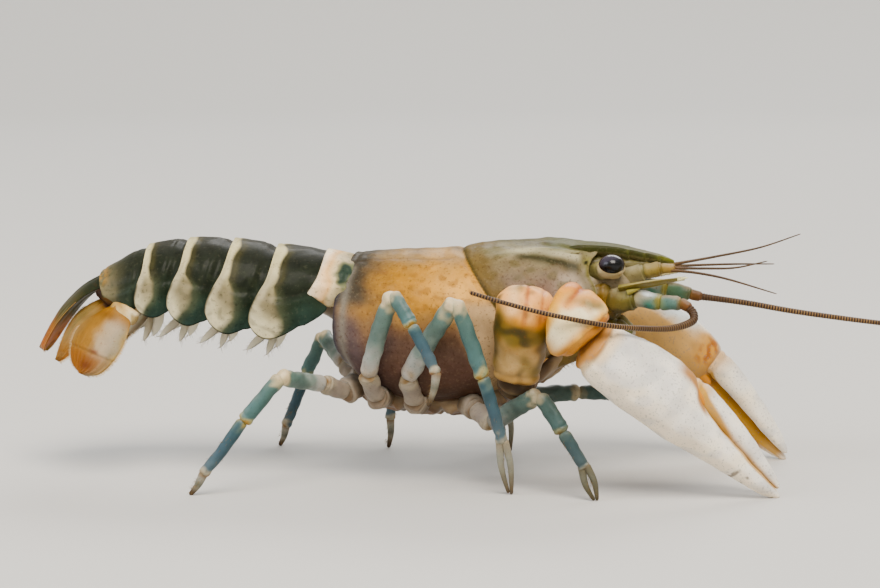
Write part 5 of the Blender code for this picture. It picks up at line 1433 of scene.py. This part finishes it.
def feelerPieces(word):
    # short feelers with two whips each, then the long one: base, scale and whip
    side = sides[word]
    flip = np.array([1, side, 1])
    looks = [(0.0, "#7a7048", 0.3, "#9c9068", 0.75, "#a3976c", 0.92, "#6c6634", 1.0, "#5e5a2c"),
        (0.0, "#80703a", 0.3, "#9c8a50", 0.7, "#a08a4c", 1.0, "#7c6428"),
        (0.0, "#8a7234", 0.4, "#a88c4c", 0.8, "#a8884a", 1.0, "#7a5a2c")]
    made = jointed(np.array(feelers["shortBase"]) * flip, feelers["shortRadii"], looks, 310)
    for points in feelers["shortWhips"][word]:
        made.append(whip(points, ((0, 0.31), (0.15, 0.24), (0.6, 0.17), (1.0, 0.09)),
            feelers["shortRingPitch"], ("#3c2814", "#8a6e50", "#7c5c38"), 320, 8))
    piece(f"shortFeelers_{word}", made, "feelerChitin", [f"antennule_{word}"])

    looks = [(0.0, "#6e5c2c", 0.3, "#7d6a34", 0.7, "#8c8046", 0.9, "#6a6430", 1.0, "#5c5828"),
        (0.0, "#8c8450", 0.15, "#aca078", 0.4, "#b0aa94", 0.7, "#8fa090", 0.85, "#9c9350",
        1.0, "#8c7f3a"), (0.0, "#958a44", 0.15, "#7c8c64", 0.4, "#64887c", 0.75, "#6c8c80",
        1.0, "#8a7448"), (0.0, "#8a6a3c", 0.5, "#80562e", 1.0, "#6c4424")]
    if side > 0:
        looks[2] = (0.0, "#9aa060", 0.2, "#6c8c6a", 0.6, "#5a7c62", 1.0, "#6a6a44")
    points = np.array(feelers["longBase"][word])
    made = []
    for k, look in enumerate(looks):
        start, end = points[k], points[k + 1]
        grid, paint = segment(start - unit(end - start) * 0.3 * (k > 0), end,
            feelers["longRadii"][2 * k:2 * k + 2], look, 330 + k, around=40, rows=60)
        way = outwards(grid)
        if k == 1:  # painted bluish-white highlight above, and teal below
            paint = over(paint,
                "#d4dcde", 0.85 * fade(0.25, 0.7, way[..., 2])
                    * hump((grid[..., 0] - start[0]) / 4.0, 0.45, 0.24),
                "#3f8270", 0.9 * fade(0.1, 0.55, -way[..., 2] + 0.35)
                    * hump((grid[..., 0] - start[0]) / 4.0, 0.5, 0.28))
        if k == 2:
            paint = over(paint, "#b39a80", 0.6 * fade(0.35, 0.9, way[..., 2]))
        if k == 0:
            paint = over(paint, "#4c4418", 0.7 * fade(0.3, 0.9, -way[..., 2]))
        made.append(part(grid, paint))
    thorn = points[1] + np.array([-1.2, 0.9 * side, 0.9])
    made.append(spikes(thorn[None], (thorn + np.array([1.9, 0.5 * side, 0.7]))[None],
        0.5, "#a49a50", rings=8, corners=12))
    piece(f"antennaBase_{word}", made, "mouthChitin", [f"antenna_base_{word}"])

    grid, share, across = bladeGrid(feelers["scale"], side, 0.03)
    under = fade(0.1, -0.5, outwards(grid)[..., 2])
    paint = ramp(share + 0.05 * wander(grid, 1.6, 340),
        (0, "#8f8648", 0.2, "#a99a5e", 0.5, "#b3a66c", 0.8, "#a99c64", 1, "#c9c08c"))
    # painted shade: darker olive on the underside; painted highlight: pale cream along the outer
    # edge
    paint = over(paint,
        "#8a7e3c", 0.75 * under,
        "#d8d0a0", 0.5 * fade(0.75, 0.98, across * side) * (1 - under))
    made = [part(grid, paint)]
    tip = np.array([37.6, 7.5 * side, 33.1])
    made.append(spikes(tip[None], (tip + np.array([1.7, 0.1 * side, 0.28]))[None], 0.42, "#d9d2a4",
        rings=8, corners=12))
    draw = np.random.default_rng(341)
    rows = draw.integers(30, 108, 150)
    edge = grid[rows, 48 if side > 0 else 0]
    away = unit(edge - grid[rows].mean(1))
    tips = edge + (away * 1.0 + np.array([0.7, 0, 0])) * draw.uniform(0.5, 1.0, (150, 1))
    made.append(spikes(edge - away * 0.05, tips, 0.03, "#b8a878"))
    piece(f"antennaScale_{word}", made, "mouthChitin", [f"antenna_scale_{word}"])

    made = [whip(feelers["longWhips"][word], feelers["longWhipRadii"][word], feelers["ringPitch"],
        ("#2a1606", "#a88458", "#4c3420"), 350, 12)]
    piece(f"antennaWhip_{word}", made, "feelerChitin",
        [f"antenna_whip_{word}_1", f"antenna_whip_{word}_2"])


def mouthLimbPiece(word):
    # five jointed lengths, folded forwards, with bristles on the lower and inner side
    side = sides[word]
    points = np.array(mouthLimb["points"]) * [1, side, 1]
    looks = [(0.0, "#6a5228", 0.5, "#8c7440", 1.0, "#7a6434"),
        (0.0, "#8c7440", 0.5, "#9c8448", 1.0, "#6e6430"), (0.0, "#8d7c44", 1.0, "#7c8050"),
        (0.0, "#b8ac94", 0.5, "#c3b8ae", 1.0, "#9a8c6c"), (0.0, "#b0a084", 1.0, "#6a5430")]
    made = jointed(points, mouthLimb["radii"], looks, 360)
    draw = np.random.default_rng(361 + side)
    count = mouthLimb["bristles"]
    share = draw.uniform(0.05, 1.0, count)
    path, _, _ = evenPath(points, 200)
    place = (share * (len(path) - 1)).astype(int)
    root = path[place]
    along = unit(np.gradient(path, axis=0))[place]
    down = np.stack([draw.uniform(0.1, 0.9, count), -side * draw.uniform(0.2, 1.0, count),
        draw.uniform(-1.2, -0.2, count)], -1)
    away = unit(down - along * (down * along).sum(-1)[:, None])
    radius = np.interp(share, (0, 0.6, 0.75, 1.0), (1.3, 1.3, 0.8, 0.3))[:, None]
    tips = root + away * (radius + draw.uniform(0.8, 1.7, (count, 1))) + along * 0.5
    made.append(spikes(root + away * radius * 0.85, tips, 0.04, "#9a7a44", rings=4))
    piece(f"mouthLimb_{word}", made, "mouthChitin", [f"maxilliped_{word}"])


piece("face", [facePart(head["face"]), facePart(head["bridge"]), cheekPart(-1), cheekPart(1)],
    "mouthChitin", ["head_shield"])
for word in sides:
    eyePieces(word)
    feelerPieces(word)
    mouthLimbPiece(word)
print("head done")


# Underside: the plates between the legs, and the swimmerets under the tail

belly = {
    # x, top, bottom, half width
    "rows": ((-14.2, 18.5, 15.2, 3.2), (-10.0, 16.5, 12.0, 5.4), (-2.0, 15.0, 10.8, 6.4),
        (8.0, 16.0, 11.3, 6.4), (16.0, 20.0, 15.6, 5.2), (22.5, 25.0, 21.0, 3.6)),
    "legPlaces": (12.6, 4.4, -2.4, -8.2, -12.4), "socketRadius": 2.1, "rootSide": 4.6,
}
swimmerets = {"spread": 5.0, "stalk": 3.2, "blade": 6.2, "half": 0.85, "thick": 0.25,
    "bristles": 36, "outline": ((0, 0.45), (0.2, 0.8), (0.5, 1.0), (0.8, 0.75), (1.0, 0.12))}


def undersidePart():
    # profile along x between top and bottom lines, keeled in the middle, with a step in
    # front of each pair of legs and a ring round each leg's root
    rear, front = belly["rows"][0][0], belly["rows"][-1][0]
    length = front - rear
    x = rear + length * denseEnds(220)
    top, bottom, half = read(belly["rows"], x).T
    end = blunt((x - rear) / length, length, 1.5, 1.5)
    c, s = circle(96)
    y = (half * end)[:, None] * signed(c, 0.85)
    z = ((top + bottom) / 2)[:, None] + ((top - bottom) / 2 * end)[:, None] * signed(s, 0.85)
    grid = np.stack([x[:, None] * np.ones(96), y, z], -1)
    lift = 0.06 * wander(grid, 2.0, 401)
    below = fade(0.1, -0.5, s) * np.ones_like(y)
    for place in belly["legPlaces"]:
        lift = lift - 0.5 * hump(x[:, None], place + 3.2, 0.35) * below
        fromRoot = np.hypot(x[:, None] - place, abs(y) - belly["rootSide"])
        lift = lift + 0.35 * hump(fromRoot, belly["socketRadius"], 0.4) * below
    lift = lift + 0.5 * hump(y, 0, 0.8) * below - 0.25 * hump(abs(y), 1.5, 0.4) * below
    grid = grid + outwards(grid) * (lift * end[:, None])[..., None]
    # the dark browns below are painted shade, as under the body; paler towards the front and on the
    # upper side
    paint = ramp(0.5 + 0.25 * wander(grid, 3.0, 402) + 0.02 * x[:, None],
        (0, "#6a543c", 0.5, "#846c50", 1, "#a89070"))
    for place in belly["legPlaces"]:
        fromRoot = np.hypot(x[:, None] - place, abs(y) - belly["rootSide"])
        paint = over(paint, "#7a5434", 0.6 * hump(fromRoot, belly["socketRadius"] * 0.8, 0.6)
            * below)
    return part(grid, over(paint, "#9a8a78", 0.5 * fade(0.0, 0.4, s)))


def leafPart(middle, way, paint):
    # a thin leaf: flat oval rings along a path, their half widths read from the outline
    half, thick, outline = (swimmerets[key] for key in ("half", "thick", "outline"))
    path, share, _ = evenPath(middle, 40, True)
    along = unit(np.gradient(path, axis=0))
    wide = unit(np.array(way) - along * (along @ np.array(way))[:, None])
    thin = np.cross(along, wide)
    c, s = circle(24)
    spread = half * read(outline, share)[:, 0]
    body = thick * (1 - 0.5 * share)[:, None] * signed(s, 0.7) * (0.45 + 0.55 * (1 - abs(c) ** 2))
    cup = 0.12 * half * c ** 2
    grid = (path[:, None] + wide[:, None] * (spread[:, None] * c)[..., None]
        + thin[:, None] * (body + cup)[..., None])
    return part(grid, ramp(share[:, None], paint)), path, wide, spread


def swimmeretPiece(index):
    # a bar across the ring, and on each side a stalk with two hanging leaves; the bristles
    # stand at seeded places along their edges
    joints = np.array(tail["joints"])
    x, z, lean, _, flesh = (joints[index] + joints[index + 1]) / 2
    turn = math.radians(lean)
    down = np.array([-math.sin(turn), 0, -math.cos(turn)])
    size = swimmerets
    under = np.array([x, 0, z]) + down * (flesh + 0.75)
    spread = size["spread"] - 0.35 * index
    draw = np.random.default_rng(410 + index)
    made = []
    path, share, length = evenPath(under + np.array([[0, -spread, 0.1], [0, 0, 0],
        [0, spread, 0.1]]), 60, True)
    radius = 0.8 * (1 - 0.2 * hump(share, 0.5, 0.3)) * blunt(share, length, 0.7, 0.7)
    made.append(part(tube(path, radius, radius, 20, flatWay=(0, 0, 1)), pigment("#bca87c")))
    for side in (-1, 1):
        top = under + np.array([0, (spread - 0.6) * side, 0])
        hang = unit(np.array([-0.35, 0.1 * side, -1]))
        knee = top + hang * size["stalk"]
        path, share, length = evenPath([top, (top + knee) / 2, knee], 30, True)
        radius = 0.68 * (1 + 0.12 * share) * blunt(share, length, 0.5, 0.5)
        grid = tube(path, radius, radius * 0.8, 18)
        made.append(part(grid, ramp(share[:, None], (0, "#a08c60", 0.6, "#c0b088", 1, "#9a7c48"))))
        for way, longer in (((-0.75, 0.3 * side, -0.75), 1.0), ((-0.25, 0, -1), 0.85)):
            way = unit(np.array(way))
            start = knee - hang * 0.4
            end = start + way * size["blade"] * longer
            sag = (start + end) / 2 + np.array([0.35, 0, 0.15])
            leaf, path, wide, half = leafPart([start, sag, end], (1, 0.8 * side, -0.6),
                (0, "#b4aa90", 0.3, "#c9c1aa", 0.7, "#d4cdb8", 1.0, "#dcd6c4"))
            made.append(leaf)
            k = draw.integers(8, 39, size["bristles"])
            sign = np.where(draw.random(len(k)) < 0.5, -1, 1)[:, None]
            root = path[k] + wide[k] * half[k, None] * sign * 0.95
            tips = root + unit(wide[k] * sign * 0.8 + way) * draw.uniform(0.5, 1.1, (len(k), 1))
            made.append(spikes(root, tips, 0.03, "#b5a27a"))
    piece(f"swimmerets{index + 1}", made, "swimmeretSkin",
        [f"swimmerets_{index + 1}"])


piece("thoraxUnderside", [undersidePart()], "bellyChitin", ["thorax_underside"])
for index in range(1, 5):
    swimmeretPiece(index)
print("underside done")


# Stage, light and camera

stage = {
    # radii in metres: the flat floor, the bend up to the wall, and the wall's height
    "flat": 1.4, "bend": 1.0, "wall": 1.2, "around": 72, "rows": 60,
    "colour": "#bfbdb8", "sky": "#eef1f5", "skyPower": 1.0,
}
lights = {
    # place, size and power in metres and watts, and the colour
    "keyLight": ((0.3, -1.1, 1.5), (1.0, 1.0), 68.0, "#fff6ea"),
    "fillLight": ((-1.35, -1.0, 0.9), (1.2, 0.9), 22.0, "#eaf1ff"),
    "rimLight": ((0.3, 1.5, 1.3), (1.5, 0.7), 28.0, "#ffffff"),
}
lightAim = (0, 0, 0.02)


def softLight(name, place, size, power, colour):
    # a wide lamp that faces the aim point, so that shadows have soft edges
    lamp = bpy.data.lights.new(name, "AREA")
    lamp.shape = "RECTANGLE"
    lamp.size, lamp.size_y = size
    lamp.energy = power
    lamp.color = linear(colour)
    obj = bpy.data.objects.new(name, lamp)
    obj.location = place
    obj.rotation_euler = (Vector(place) - Vector(lightAim)).to_track_quat("Z", "Y").to_euler()
    bpy.context.scene.collection.objects.link(obj)


def setStage():
    # a pale floor that turns up into a low round wall far away, so that no horizon shows,
    # an even sky and three large soft lights
    look, rows, around = stage, stage["rows"], stage["around"]
    gone = np.linspace(0, 1, rows)[:, None]
    c, s = circle(around)
    bend = np.clip((gone - 0.4) / 0.35, 0, 1) * np.pi / 2
    radius = look["flat"] * np.minimum(gone / 0.4, 1) + look["bend"] * np.sin(bend) + 1e-4
    height = look["bend"] * (1 - np.cos(bend)) + look["wall"] * np.clip((gone - 0.75) / 0.25, 0, 1)
    grid = np.stack([radius * c, radius * s, height * np.ones(around)], -1)
    quads = ringQuads(np.arange(rows * around).reshape(rows, around))[:, [0, 3, 2, 1]]
    mesh = bpy.data.meshes.new("floor")
    mesh.from_pydata(grid.reshape(-1, 3), [], quads.tolist())
    mesh.shade_smooth()
    floor = bpy.data.objects.new("floor", mesh)
    bpy.context.scene.collection.objects.link(floor)
    material = bpy.data.materials.new("mattePaper")  # plain paper: pale, no gloss
    material.use_nodes = True
    paper = {"Base Color": (*linear(look["colour"]), 1),
        "Roughness": 0.9, "Specular IOR Level": 0.1}
    for key, value in paper.items():
        material.node_tree.nodes["Principled BSDF"].inputs[key].default_value = value
    mesh.materials.append(material)
    world = bpy.data.worlds.new("studio")
    world.use_nodes = True
    sky = world.node_tree.nodes["Background"].inputs
    sky["Color"].default_value = (*linear(look["sky"]), 1)
    sky["Strength"].default_value = look["skyPower"]
    bpy.context.scene.world = world
    for name, light in lights.items():
        softLight(name, *light)


def setCamera():
    # the photo's angle: azimuth and elevation in degrees, distance in metres, lens in mm
    look = {"azimuth": 6.0, "elevation": 6.5, "distance": 0.400, "lens": 103.0,
        "aim": (0.0, 0.0, 29.5)}
    a, e = math.radians(look["azimuth"]), math.radians(look["elevation"])
    back = Vector((math.sin(a) * math.cos(e), -math.cos(a) * math.cos(e), math.sin(e)))
    data = bpy.data.cameras.new("photoCamera")
    data.lens = look["lens"]
    data.sensor_width = 36.0
    data.clip_start = 0.01
    camera = bpy.data.objects.new("photoCamera", data)
    camera.location = Vector(onFrame(look["aim"])) + back * look["distance"]
    camera.rotation_euler = back.to_track_quat("Z", "Y").to_euler()
    bpy.context.scene.collection.objects.link(camera)
    bpy.context.scene.camera = camera


setStage()
setCamera()
print("stage and camera set")
